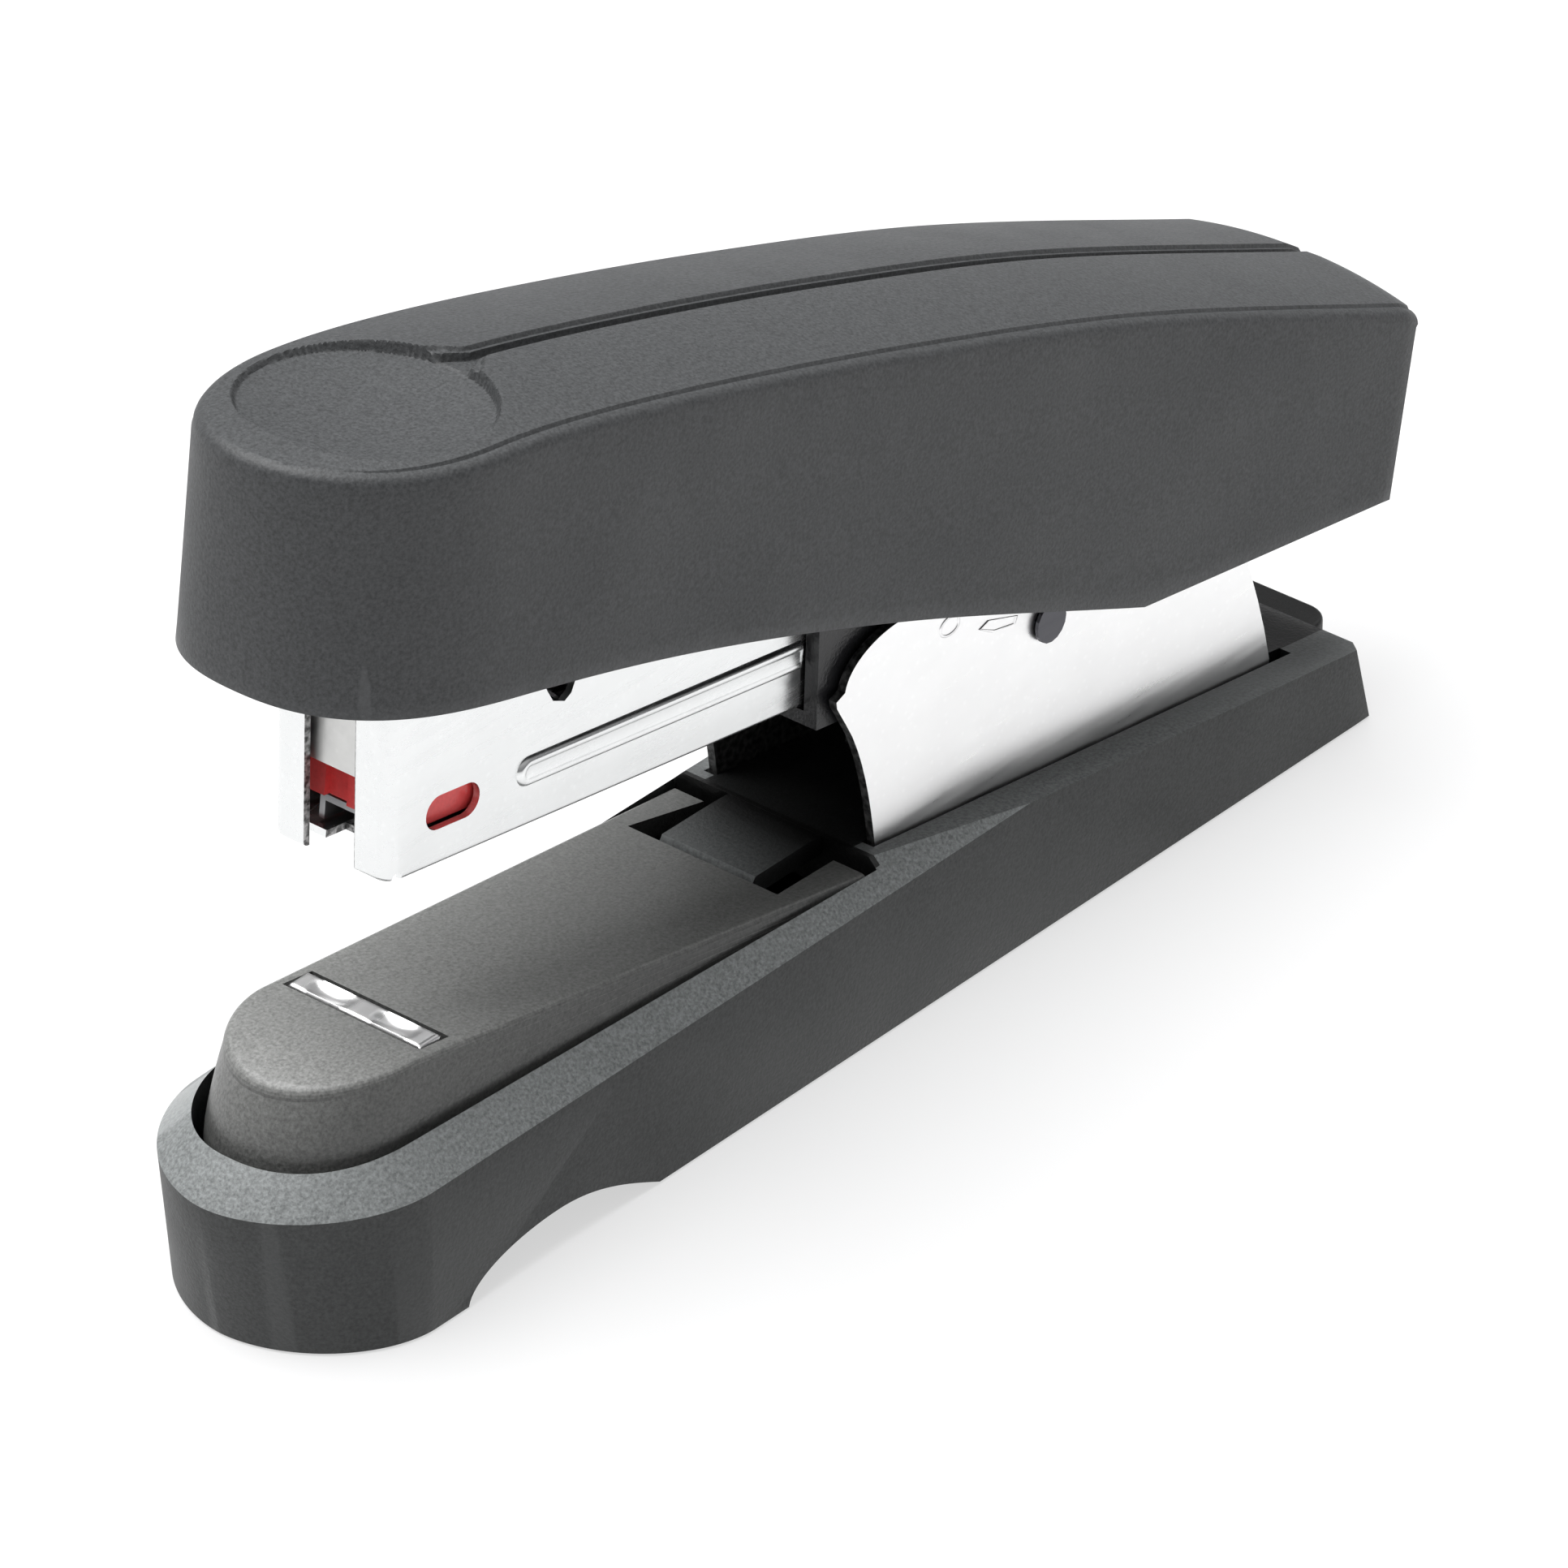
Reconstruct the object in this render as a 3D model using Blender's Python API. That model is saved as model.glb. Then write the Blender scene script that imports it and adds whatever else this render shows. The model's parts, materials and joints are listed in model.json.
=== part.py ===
"""Desk stapler with a sprung clinch cover, a front-window magazine and a moulded handle cover.

Sizes are in millimetres and are scaled to metres where a mesh is made. X runs from the nose to the
rear, Y across and Z up. While it is built, X = 0 is the centre of the base's rounded nose; the last
step moves the whole object so that its origin is the middle of its footprint.
"""

import math

import bmesh
import bpy
from mathutils import Matrix, Vector

MM = 0.001
GAP = 0.3

# ---- Base shell ----
BASE_HALF_WIDTH = 15.5
BASE_WALL = 2.0
BASE_BOTTOM = 0.3
NOSE_LENGTH_TOP = 16.4
NOSE_LENGTH_BOTTOM = 14.2
NOSE_ROUNDING = 1.09
SIDE_TOP = 16.4
SIDE_RISE = 0.006
REAR_TOP_X = 147.5
REAR_LEAN = 2.6
DECK_JOIN_X = 91.5
DECK_SLOPE = 0.1325
DECK_SKIN = 2.2
NOSE_FLOOR = 7.0
NOSE_FLOOR_END = 36.0
CHAMFER_MAX = 4.6
RECESS_START = 4.8
RECESS_END = 34.0
RECESS_HEIGHT = 4.9
TONGUE_HALF_WIDTH = 8.3
TONGUE_LENGTH = 4.2
TONGUE_THICKNESS = 3.0

# ---- Opening in the base and the sprung clinch cover in it ----
OPENING_NOSE = 13.3
OPENING_HALF_WIDTH = 11.8
OPENING_TAPER = 0.025
OPENING_END = 69.3
BRIDGE_START = 58.6
BRIDGE_HALF_WIDTH = 6.2
BRIDGE_TOP = 20.0
CLINCH_SIDE_GAP = 0.9
CLINCH_NOSE_GAP = 1.3
CLINCH_TOP_Z = 27.2
CLINCH_TOP_X = 7.9
CLINCH_SLOPE = 0.145
CLINCH_NOSE_DROP = 0.010
CLINCH_SKIRT_Z = 17.0
CLINCH_TAPER = 0.035
CLINCH_TOP_TAPER = 0.043
CLINCH_TOP_INSET = 0.9
CLINCH_NOSE_INSET = 4.0
CLINCH_WALL = 1.5
CLINCH_PLATE_END = 58.0
CLINCH_END = 68.3
CLINCH_RAIL = 3.0
CLINCH_PIN_X = 61.0
CLINCH_PIN_Z = 15.0
CLINCH_PIN_RADIUS = 1.0
CLINCH_PIN_HALF_LENGTH = 14.2
CLINCH_SPRING_X = 25.0
CLINCH_SPRING_RADIUS = 3.6

# ---- Anvil ----
ANVIL_FRONT = 5.9
ANVIL_LENGTH = 3.0
ANVIL_HALF_WIDTH = 8.7
ANVIL_HEIGHT = 3.2
ANVIL_GROOVE_DEPTH = 0.5
CARRIER_SHEET = 1.0
CARRIER_HALF_WIDTH = 4.0
CARRIER_FRONT = 4.4

# ---- Steel riser ----
PLATE_INNER = 10.0
PLATE_SHEET = 1.0
RISER_WEB_Z = 3.2
RISER_FRONT = 72.2
RISER_REAR = 136.9
RISER_NUB_X = 66.0
RISER_NUB_Z = 39.2
RISER_SHOULDER_X = 76.0
RISER_SHOULDER_Z = 44.2
SLOT_REAR_SPARE = 3.4
RIVET_X = 99.3
RIVET_Z = 33.4
RIVET_RADIUS = 1.8

LIFT_SPRING_START = 87.0
LIFT_SPRING_TIP = 106.0
LIFT_SPRING_THICKNESS = 0.6
LIFT_SPRING_BEND = 1.5

# ---- Main hinge ----
HINGE_X = 124.0
HINGE_Z = 50.0
AXLE_RADIUS = 2.0
BUSH_RADIUS = 3.4
BOSS_RADIUS = 5.5
CLIP_RADIUS = 3.4
CLIP_THICKNESS = 0.7

# ---- Magazine ----
MAGAZINE_FRONT_X = 3.0
MAGAZINE_FRONT_Z = 46.8
MAGAZINE_PITCH = math.radians(8.15)
MAGAZINE_HALF_WIDTH = 7.6
MAGAZINE_SHEET = 0.8
MAGAZINE_FRONT_LEAN = 0.047
MAGAZINE_TOP_FRONT_Z = 70.0
MAGAZINE_TOP_REAR_Z = 55.0
STEEL_SIDE_END = 64.2
CHANNEL_END = 112.0
CHANNEL_LOW_HEIGHT = 12.0
SLIT_HALF_WIDTH = 3.25
BLADE_SLOT = 3.2
WINDOW_S = 8.8
WINDOW_H = 5.8
WINDOW_LENGTH = 7.8
WINDOW_HEIGHT = 3.7
BEAD_START = 18.0
BEAD_H = 6.2
BEAD_HEIGHT = 3.4
BEAD_RAISE = 0.5
RAIL_SIDE_GAP = 1.4
RAIL_HALF_WIDTH = MAGAZINE_HALF_WIDTH - MAGAZINE_SHEET - RAIL_SIDE_GAP
RAIL_HEIGHT = 2.7
RAIL_SHEET = 0.7
SLEEVE_WALL = 1.6

# ---- Pusher ----
PUSHER_LENGTH = 18.0
PUSHER_HEIGHT = 5.6
PUSHER_SIDE_GAP = 0.4
PUSHER_RIB_HALF_WIDTH = 1.3
SPRING_RADIUS = 1.7
SPRING_WIRE = 0.35
SPRING_TURNS = 24
SPRING_SEAT_GAP = 0.2
SPRING_SEAT_WALL = 0.5

# ---- Handle cover, sized round the chassis that it wraps ----
CHASSIS_SHEET = 1.0
CHASSIS_SIDE_GAP = 0.5
CHASSIS_HALF_WIDTH = PLATE_INNER + PLATE_SHEET + CHASSIS_SIDE_GAP + CHASSIS_SHEET
COVER_WALL = 1.7
COVER_SIDE_GAP = 1.3
COVER_HALF_WIDTH = CHASSIS_HALF_WIDTH + COVER_SIDE_GAP + COVER_WALL
COVER_NOSE_CENTRE = 12.0
COVER_NOSE_LENGTH = 20.2
COVER_DRAFT = 0.045
COVER_NOSE_DRAFT = 0.055
COVER_NOSE_SQUARING = 0.16
COVER_REAR_BOW = 0.6
COVER_TOP_WALL = 2.0
DISH_PAD = 1.5
DISH_PAD_END = 34.0
COVER_FILLET = 1.3
COVER_CROWN = 2.0
COVER_REAR_TOP_X = 156.0
COVER_REAR_BOTTOM_X = 150.9
COVER_KINK_X = 107.9
COVER_CENTRE_LINE = [
    (-10.0, 96.9),
    (10.0, 96.0),
    (23.0, 93.9),
    (45.0, 88.3),
    (75.0, 79.4),
    (110.0, 67.6),
    (158.0, 48.0),
]
COVER_LOWER_EDGE = [(-12.0, 72.2), (10.0, 68.0), (38.0, 60.4), (70.0, 49.1), (107.9, 33.3)]
COVER_REAR_EDGE = [(107.9, 33.3), (150.9, 26.8)]
APRON_BOTTOM = 41.0
DISH_X = 9.8
DISH_RADIUS = 12.6
DISH_DEPTH = 1.5
DISH_BOWL = 0.9
DISH_TILT = math.radians(6.5)
GROOVE_HALF_WIDTH = 0.8
GROOVE_DEPTH = 0.8

# ---- Handle chassis and driver ----
CHASSIS_DROP = 0.7
CHASSIS_FLANGE = 15.0
CHASSIS_FRONT = 8.0
CHASSIS_WEB_END = 128.0
BLADE_X = 5.0
BLADE_BOTTOM = 56.1
BLADE_THICKNESS = 0.6
BLADE_SIDE_GAP = 0.6
BLADE_HALF_WIDTH = MAGAZINE_HALF_WIDTH - MAGAZINE_SHEET - BLADE_SIDE_GAP
BLADE_LEAN = 0.0924
SCREW_STATIONS = (44.0, 108.0)
LEAF_THICKNESS = 0.7
LEAF_OVERHANG = 0.6

NOSE_STEPS = 12
ROUND_STEPS = 24

COLOURS = {
    "charcoal_plastic": ((0.060, 0.066, 0.070), 0.62, 0.0),
    "deck_plastic": ((0.085, 0.088, 0.086), 0.50, 0.0),
    "black_plastic": ((0.012, 0.012, 0.013), 0.45, 0.0),
    "bright_steel": ((0.80, 0.81, 0.81), 0.28, 1.0),
    "chrome": ((0.90, 0.90, 0.91), 0.10, 1.0),
    "spring_steel": ((0.42, 0.43, 0.44), 0.35, 1.0),
    "dark_steel": ((0.10, 0.10, 0.11), 0.40, 1.0),
    "red_plastic": ((0.62, 0.045, 0.04), 0.42, 0.0),
    "rubber": ((0.025, 0.025, 0.026), 0.85, 0.0),
}


# ---------------------------------------------------------------- curves and outlines


def through(points, x):
    """Height at x on a smooth curve through a few points, with straight ends."""
    last = len(points) - 1
    span = 0
    while span < last - 1 and x > points[span + 1][0]:
        span += 1
    (x0, z0), (x1, z1) = points[span], points[span + 1]

    def tangent(index):
        low = points[max(index - 1, 0)]
        high = points[min(index + 1, last)]
        return (high[1] - low[1]) / (high[0] - low[0])

    width = x1 - x0
    t = (x - x0) / width
    if t < 0.0:
        return z0 + tangent(span) * (x - x0)
    if t > 1.0:
        return z1 + tangent(span + 1) * (x - x1)
    rise = tangent(span) * width
    fall = tangent(span + 1) * width
    t2 = t * t
    t3 = t2 * t
    return (2 * t3 - 3 * t2 + 1) * z0 + (t3 - 2 * t2 + t) * rise + (3 * t2 - 2 * t3) * z1 + (t3 - t2) * fall


def deck_z(x):
    """Height of the base's sloping rear deck."""
    return SIDE_TOP + SIDE_RISE * DECK_JOIN_X + DECK_SLOPE * (DECK_JOIN_X - x)


def side_top_z(x):
    """Height of the top of the base's side wall."""
    return min(SIDE_TOP + SIDE_RISE * x, deck_z(x))


def clinch_top_z(x):
    """Height of the clinch cover's top; it flattens towards the nose."""
    nose = max(0.0, CLINCH_TOP_X - x)
    return CLINCH_TOP_Z - CLINCH_SLOPE * (x - CLINCH_TOP_X) - CLINCH_NOSE_DROP * nose * nose


def cover_top_z(x, y):
    """Height of the handle cover's crowned top."""
    return through(COVER_CENTRE_LINE, x) - COVER_CROWN * (y / COVER_HALF_WIDTH) ** 2


def cover_under_z(x, y):
    """Height of the underside of the cover's top, which is thicker under the thumb dish."""
    pad = DISH_PAD * min(1.0, max(0.0, (DISH_PAD_END - x) / 8.0))
    return cover_top_z(x, y) - COVER_TOP_WALL - pad


def cover_bottom_z(x):
    """Height of the handle cover's lower edge, which kinks behind the riser."""
    return through(COVER_LOWER_EDGE if x < COVER_KINK_X else COVER_REAR_EDGE, x)


def magazine_point(s, h):
    """A point s along the magazine's underside from its front, and h square to it."""
    x = MAGAZINE_FRONT_X + s * math.cos(MAGAZINE_PITCH) + h * math.sin(MAGAZINE_PITCH)
    z = MAGAZINE_FRONT_Z - s * math.sin(MAGAZINE_PITCH) + h * math.cos(MAGAZINE_PITCH)
    return (x, z)


def magazine_floor_z(x):
    """Height of the magazine's underside."""
    return MAGAZINE_FRONT_Z - math.tan(MAGAZINE_PITCH) * (x - MAGAZINE_FRONT_X)


def magazine_front_x(z):
    """The magazine's front face, which leans back a little."""
    return MAGAZINE_FRONT_X + MAGAZINE_FRONT_LEAN * (z - MAGAZINE_FRONT_Z)


def magazine_top_z(x):
    """Height of the top edge of the magazine's steel sides."""
    share = (x - MAGAZINE_FRONT_X) / (STEEL_SIDE_END - MAGAZINE_FRONT_X)
    return MAGAZINE_TOP_FRONT_Z + share * (MAGAZINE_TOP_REAR_Z - MAGAZINE_TOP_FRONT_Z)


def arc(cx, cz, radius, start, end, steps):
    """Points on an arc, with angles in degrees from +X towards +Z."""
    points = []
    for step in range(steps + 1):
        angle = math.radians(start + (end - start) * step / steps)
        points.append((cx + radius * math.cos(angle), cz + radius * math.sin(angle)))
    return points


def stadium(s, h, length, height, steps=6):
    """A slot with round ends along the magazine, as points on its side."""
    reach = (length - height) / 2
    ring = arc(s + reach, h, height / 2, -90, 90, steps) + arc(s - reach, h, height / 2, 90, 270, steps)
    return [magazine_point(a, b) for a, b in ring]


def nose_plan(centre, nose, half_width, end, taper=0.0, steps=NOSE_STEPS):
    """Plan outline with an elliptical nose and sides that may widen towards a straight rear."""
    half = []
    for step in range(steps + 1):
        angle = math.pi / 2 * step / steps
        half.append((centre - nose * math.cos(angle), half_width * math.sin(angle)))
    half.append((end, half_width + taper * (end - centre)))
    return half + [(x, -y) for x, y in reversed(half[1:])]


# ---------------------------------------------------------------- solids


def material(slot):
    """The material of a slot, made once."""
    found = bpy.data.materials.get(slot)
    if found:
        return found
    colour, roughness, metallic = COLOURS[slot]
    made = bpy.data.materials.new(slot)
    made.use_nodes = True
    shader = made.node_tree.nodes["Principled BSDF"]
    shader.inputs["Base Color"].default_value = (*colour, 1.0)
    shader.inputs["Roughness"].default_value = roughness
    shader.inputs["Metallic"].default_value = metallic
    made.diffuse_color = (*colour, 1.0)
    return made


def add_object(name, mesh):
    """Links a mesh as a new object."""
    made = bpy.data.objects.new(name, mesh)
    bpy.context.scene.collection.objects.link(made)
    return made


def solid_from(name, verts, faces):
    """A closed mesh from points in millimetres, with doubled points joined and faces outward."""
    bm = bmesh.new()
    placed = [bm.verts.new(Vector(v) * MM) for v in verts]
    for face in faces:
        corners = []
        for index in face:
            if placed[index] not in corners:
                corners.append(placed[index])
        if len(corners) > 2:
            bm.faces.new(corners)
    bmesh.ops.remove_doubles(bm, verts=bm.verts, dist=0.00001)
    bmesh.ops.dissolve_degenerate(bm, edges=bm.edges, dist=0.00001)
    bmesh.ops.recalc_face_normals(bm, faces=bm.faces)
    mesh = bpy.data.meshes.new(name)
    bm.to_mesh(mesh)
    bm.free()
    return add_object(name, mesh)


def strip_cap(start, count):
    """Faces across a ring that begins at its nose and is the same on both sides."""
    faces = [(start, start + 1, start + count - 1)]
    for step in range(1, (count - 1) // 2):
        left = start + step
        right = start + count - step
        faces.append((left, left + 1, right - 1, right))
    return faces


def loft(name, rings, strips=False):
    """A solid through rings with the same number of points, closed by its first and last ring."""
    count = len(rings[0])
    verts = [point for ring in rings for point in ring]
    faces = []
    for row in range(len(rings) - 1):
        for column in range(count):
            after = (column + 1) % count
            a = row * count
            b = a + count
            faces.append((a + column, a + after, b + after, b + column))
    last = (len(rings) - 1) * count
    if strips:
        faces += strip_cap(0, count) + strip_cap(last, count)
    else:
        faces += [tuple(range(count)), tuple(range(last, last + count))]
    return solid_from(name, verts, faces)


def prism_y(name, outline, y0, y1):
    """An outline in X and Z, drawn out along Y."""
    return loft(name, [[(x, y, z) for x, z in outline] for y in (y0, y1)])


def prism_z(name, outline, z0, z1):
    """An outline in X and Y, drawn out along Z; a height may be a function of x."""

    def height(value, x):
        return value(x) if callable(value) else value

    return loft(name, [[(x, y, height(z, x)) for x, y in outline] for z in (z0, z1)])


def block(name, x0, x1, y0, y1, z0, z1):
    """A rectangular block."""
    return prism_y(name, [(x0, z0), (x1, z0), (x1, z1), (x0, z1)], y0, y1)


def cylinder_y(name, x, z, radius, y0, y1, steps=ROUND_STEPS):
    """A round bar along Y."""
    return prism_y(name, arc(x, z, radius, 0, 360 - 360 / steps, steps - 1), y0, y1)


def cylinder_z(name, x, y, radius, z0, z1, steps=ROUND_STEPS):
    """A round bar along Z."""
    return prism_z(name, arc(x, y, radius, 0, 360 - 360 / steps, steps - 1), z0, z1)


def combine(target, others, operation):
    """Adds or cuts other solids, which are used up."""
    for other in others:
        modifier = target.modifiers.new("step", "BOOLEAN")
        modifier.operation = operation
        modifier.solver = "EXACT"
        modifier.object = other
        bpy.context.view_layer.update()
        evaluated = target.evaluated_get(bpy.context.evaluated_depsgraph_get())
        mesh = bpy.data.meshes.new_from_object(evaluated)
        target.modifiers.remove(modifier)
        target.data = mesh
        bpy.data.objects.remove(other)
    return target


def cut(target, *others):
    """Cuts solids out of a target."""
    return combine(target, others, "DIFFERENCE")


def join(target, *others):
    """Adds solids to a target."""
    return combine(target, others, "UNION")


def move_mesh(piece, matrix):
    """Turns or shifts a piece's mesh, not its object."""
    piece.data.transform(matrix)
    return piece


def finish(piece, name, slot, pivot):
    """Names a piece, gives it its material, and puts its origin on its joint."""
    piece.name = name
    piece.data.name = name
    piece.data.materials.clear()
    piece.data.materials.append(material(slot))
    piece.data.shade_smooth()
    piece.data.set_sharp_from_angle(angle=math.radians(35))
    origin = Vector((pivot[0], 0.0, pivot[1])) * MM
    piece.data.transform(Matrix.Translation(-origin))
    piece.location = origin
    return piece


def finish_each(pieces, name, ends, slot, pivot):
    """Finishes several identical pieces, each as its own object."""
    for piece, end in zip(pieces, ends):
        finish(piece, name + "_" + end, slot, pivot)


def coil(name, radius, wire, turns, length, steps=10, sides=5):
    """A coil spring along Z from 0 to its length."""
    rings = []
    count = turns * steps
    for step in range(count + 1):
        angle = 2 * math.pi * step / steps
        height = wire + (length - 2 * wire) * step / count
        centre = Vector((radius * math.cos(angle), radius * math.sin(angle), height))
        outward = Vector((math.cos(angle), math.sin(angle), 0.0))
        ring = []
        for side in range(sides):
            turn = 2 * math.pi * side / sides
            across = outward * math.cos(turn) + Vector((0, 0, 1)) * math.sin(turn)
            ring.append(tuple(centre + wire * across))
        rings.append(ring)
    return loft(name, rings)


# ---------------------------------------------------------------- base


def base_ring(level):
    """One ring of the base's outer form: 0 at the bottom, 1 at the top of the side, 2 above the chamfer."""
    stations = []
    for step in range(NOSE_STEPS + 1):
        angle = math.pi / 2 * step / NOSE_STEPS
        stations.append((-abs(math.cos(angle)) ** NOSE_ROUNDING, math.sin(angle) ** NOSE_ROUNDING, 0.0))
    for share in (0.45, DECK_JOIN_X / REAR_TOP_X, 1.0):
        stations.append((0.0, 1.0, share))
    ring = []
    for nose, side, share in stations:
        length = NOSE_LENGTH_BOTTOM if level == 0 else NOSE_LENGTH_TOP
        rear = REAR_TOP_X + (REAR_LEAN if level == 0 else 0.0)
        plain_x = nose * NOSE_LENGTH_TOP + share * REAR_TOP_X
        z = BASE_BOTTOM if level == 0 else side_top_z(plain_x)
        inset = 0.0
        if level == 2:
            inset = max(0.0, min(CHAMFER_MAX, deck_z(plain_x) - z))
            z += inset
        x = nose * (length - inset) + share * rear
        ring.append((x, side * (BASE_HALF_WIDTH - inset), z))
    return ring + [(x, -y, z) for x, y, z in reversed(ring[1:])]


def opening_outline(extra_nose=0.0, extra_side=0.0, end=OPENING_END):
    """Plan outline of the opening round the clinch cover."""
    return nose_plan(0.8, OPENING_NOSE + extra_nose, OPENING_HALF_WIDTH + extra_side, end, OPENING_TAPER)


def recess_outline():
    """Side view of the finger recess under the nose, steeper at its front."""
    middle = RECESS_START + 0.46 * (RECESS_END - RECESS_START)
    rise = middle - RECESS_START
    front = []
    for degrees in range(0, 91, 15):
        turn = math.radians(degrees)
        front.append((RECESS_START + rise * (1 - math.cos(turn)), RECESS_HEIGHT * math.sin(turn)))
    span = RECESS_END - middle
    rear = [(middle + span * k / 6, RECESS_HEIGHT * math.cos(math.pi / 2 * k / 6)) for k in range(1, 7)]
    return [(RECESS_START, -2.0)] + front + rear + [(RECESS_END, -2.0)]


def make_base_shell():
    inner = BASE_HALF_WIDTH - BASE_WALL
    shell = loft("base_shell", [base_ring(0), base_ring(1), base_ring(2)], True)
    tongue_x = REAR_TOP_X - 3.0
    tongue_end = REAR_TOP_X + TONGUE_LENGTH
    tongue_top = deck_z(tongue_end)
    corner = 3.0
    round_corner = arc(tongue_end - corner, TONGUE_HALF_WIDTH - corner, corner, 90, 0, 5)
    plan = [(tongue_x, TONGUE_HALF_WIDTH)] + round_corner
    plan += [(x, -y) for x, y in reversed(plan)]
    join(shell, prism_z("tongue", plan, tongue_top - TONGUE_THICKNESS, tongue_top))
    opening = prism_z("opening", opening_outline(), NOSE_FLOOR, deck_z(0) + 10)
    cavity_top = [(x, deck_z(x) - DECK_SKIN) for x in (OPENING_END + DECK_SKIN, REAR_TOP_X - BASE_WALL)]
    cavity = [(NOSE_FLOOR_END + BASE_WALL, -2.0), (REAR_TOP_X - BASE_WALL, -2.0)]
    cavity += [cavity_top[1], cavity_top[0]]
    cavity += [(OPENING_END + DECK_SKIN, 14.0), (NOSE_FLOOR_END + BASE_WALL, 14.0)]
    cut(shell, opening, prism_y("cavity", cavity, -inner, inner))
    bridge = [(BRIDGE_START, BRIDGE_TOP - 0.6), (BRIDGE_START, BRIDGE_TOP - DECK_SKIN)]
    bridge_end = OPENING_END + 1.0
    bridge += [(bridge_end, BRIDGE_TOP - DECK_SKIN), (bridge_end, deck_z(bridge_end) - 0.05)]
    bridge += [(OPENING_END - 0.5, BRIDGE_TOP), (BRIDGE_START + 0.6, BRIDGE_TOP)]
    join(shell, prism_y("bridge", bridge, -BRIDGE_HALF_WIDTH, BRIDGE_HALF_WIDTH))
    cut(shell, prism_y("recess", recess_outline(), -20, 20))
    for side in (-1, 1):
        y0, y1 = sorted((side * (PLATE_INNER - GAP), side * (PLATE_INNER + PLATE_SHEET + GAP)))
        cut(shell, block("slot", RISER_FRONT - 0.8, RISER_REAR + SLOT_REAR_SPARE, y0, y1, 5.0, 30.0))
    for x in frame_screw_stations():
        join(shell, cylinder_z("boss", x, 0.0, 3.2, RISER_WEB_Z + 1.0 + GAP, deck_z(x) - 1.0, 16))
        cut(shell, cylinder_z("hole", x, 0.0, 1.4, 0.0, deck_z(x) - 2.4, 12))
    pin_reach = CLINCH_PIN_HALF_LENGTH + GAP
    pin_bore = CLINCH_PIN_RADIUS + GAP
    cut(shell, cylinder_y("pin", CLINCH_PIN_X, CLINCH_PIN_Z, pin_bore, -pin_reach, pin_reach, 16))
    foot = nose_plan(0.0, NOSE_LENGTH_BOTTOM - 3.4 + GAP, 11.0 + GAP, 1.6 + GAP)
    cut(shell, prism_z("foot_pocket", foot, -1.0, 1.2 + GAP))
    return finish(shell, "base_shell", "charcoal_plastic", (0.0, 0.0))


def frame_screw_stations():
    """Where the riser is screwed to the base."""
    return (RISER_FRONT + 10.0, RISER_REAR - 12.0)


def make_base_pads():
    side = BASE_HALF_WIDTH - BASE_WALL - GAP
    end = REAR_TOP_X - BASE_WALL - GAP
    pad = block("base_pad", NOSE_FLOOR_END + BASE_WALL + GAP, end, -side, side, 0.0, 1.5)
    finish(pad, "base_pad", "rubber", (0.0, 0.0))
    foot = prism_z("nose_foot", nose_plan(0.0, NOSE_LENGTH_BOTTOM - 3.4, 11.0, 1.6), 0.0, 1.2)
    finish(foot, "nose_foot", "rubber", (0.0, 0.0))


def riser_outline():
    """Side view of one riser plate: concave front edge, nub, rounded shoulder, hinge boss and rear edge."""
    bottom = RISER_WEB_Z
    front = [(RISER_FRONT, bottom), (RISER_FRONT, 18.0)]
    front += [(RISER_FRONT - 1.4, 26.6), (RISER_FRONT - 3.4, 33.1)]
    front += [(RISER_NUB_X, RISER_NUB_Z - 0.8), (RISER_NUB_X - 0.1, RISER_NUB_Z)]
    corner = RISER_SHOULDER_X - RISER_NUB_X - 1.2
    rise = RISER_SHOULDER_Z - RISER_NUB_Z
    shoulder = []
    for degrees in (10, 30, 50, 70, 90):
        turn = math.radians(degrees)
        shoulder.append((RISER_SHOULDER_X - corner * math.cos(turn), RISER_NUB_Z + rise * math.sin(turn)))
    boss = arc(HINGE_X, HINGE_Z, BOSS_RADIUS, 110, -4, 10)
    rear = [(RISER_REAR - 4.1, 24.9), (RISER_REAR - 2.2, 19.4), (RISER_REAR, 11.3), (RISER_REAR, bottom)]
    return front + shoulder + boss + rear


def make_riser():
    outer = PLATE_INNER + PLATE_SHEET
    riser = block("riser", RISER_FRONT, RISER_REAR, -outer, outer, RISER_WEB_Z, RISER_WEB_Z + PLATE_SHEET)
    for side in (-1, 1):
        y0, y1 = sorted((side * PLATE_INNER, side * outer))
        join(riser, prism_y("plate", riser_outline(), y0, y1))
    cut(riser, cylinder_y("axle_hole", HINGE_X, HINGE_Z, AXLE_RADIUS + GAP, -20, 20))
    cut(riser, cylinder_y("rivet_hole", RIVET_X, RIVET_Z, RIVET_RADIUS + GAP, -20, 20, 16))
    for x in frame_screw_stations():
        cut(riser, cylinder_z("screw_hole", x, 0.0, 1.5, 0.0, 8.0, 12))
    finish(riser, "base_frame", "bright_steel", (0.0, 0.0))
    screws = []
    for x in frame_screw_stations():
        shank = cylinder_z("shank", x, 0.0, 1.1, RISER_WEB_Z - 1.0, deck_z(x) - 2.4 - GAP, 12)
        head = cylinder_z("head", x, 0.0, 2.6, 1.5 + GAP, RISER_WEB_Z - GAP, 16)
        screws.append(join(head, shank))
    finish_each(screws, "frame_screw", ("front", "rear"), "spring_steel", (0.0, 0.0))
    rivets = []
    for side in (-1, 1):
        inner = PLATE_INNER + 0.15
        stem_end = PLATE_INNER + PLATE_SHEET + GAP
        y0, y1 = sorted((side * inner, side * (stem_end + 0.1)))
        h0, h1 = sorted((side * stem_end, side * (stem_end + 0.4)))
        stem = cylinder_y("stem", RIVET_X, RIVET_Z, RIVET_RADIUS, y0, y1, 16)
        rivets.append(join(stem, cylinder_y("head", RIVET_X, RIVET_Z, RIVET_RADIUS + 0.5, h0, h1, 16)))
    finish_each(rivets, "frame_rivet", ("near", "far"), "dark_steel", (0.0, 0.0))


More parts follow.
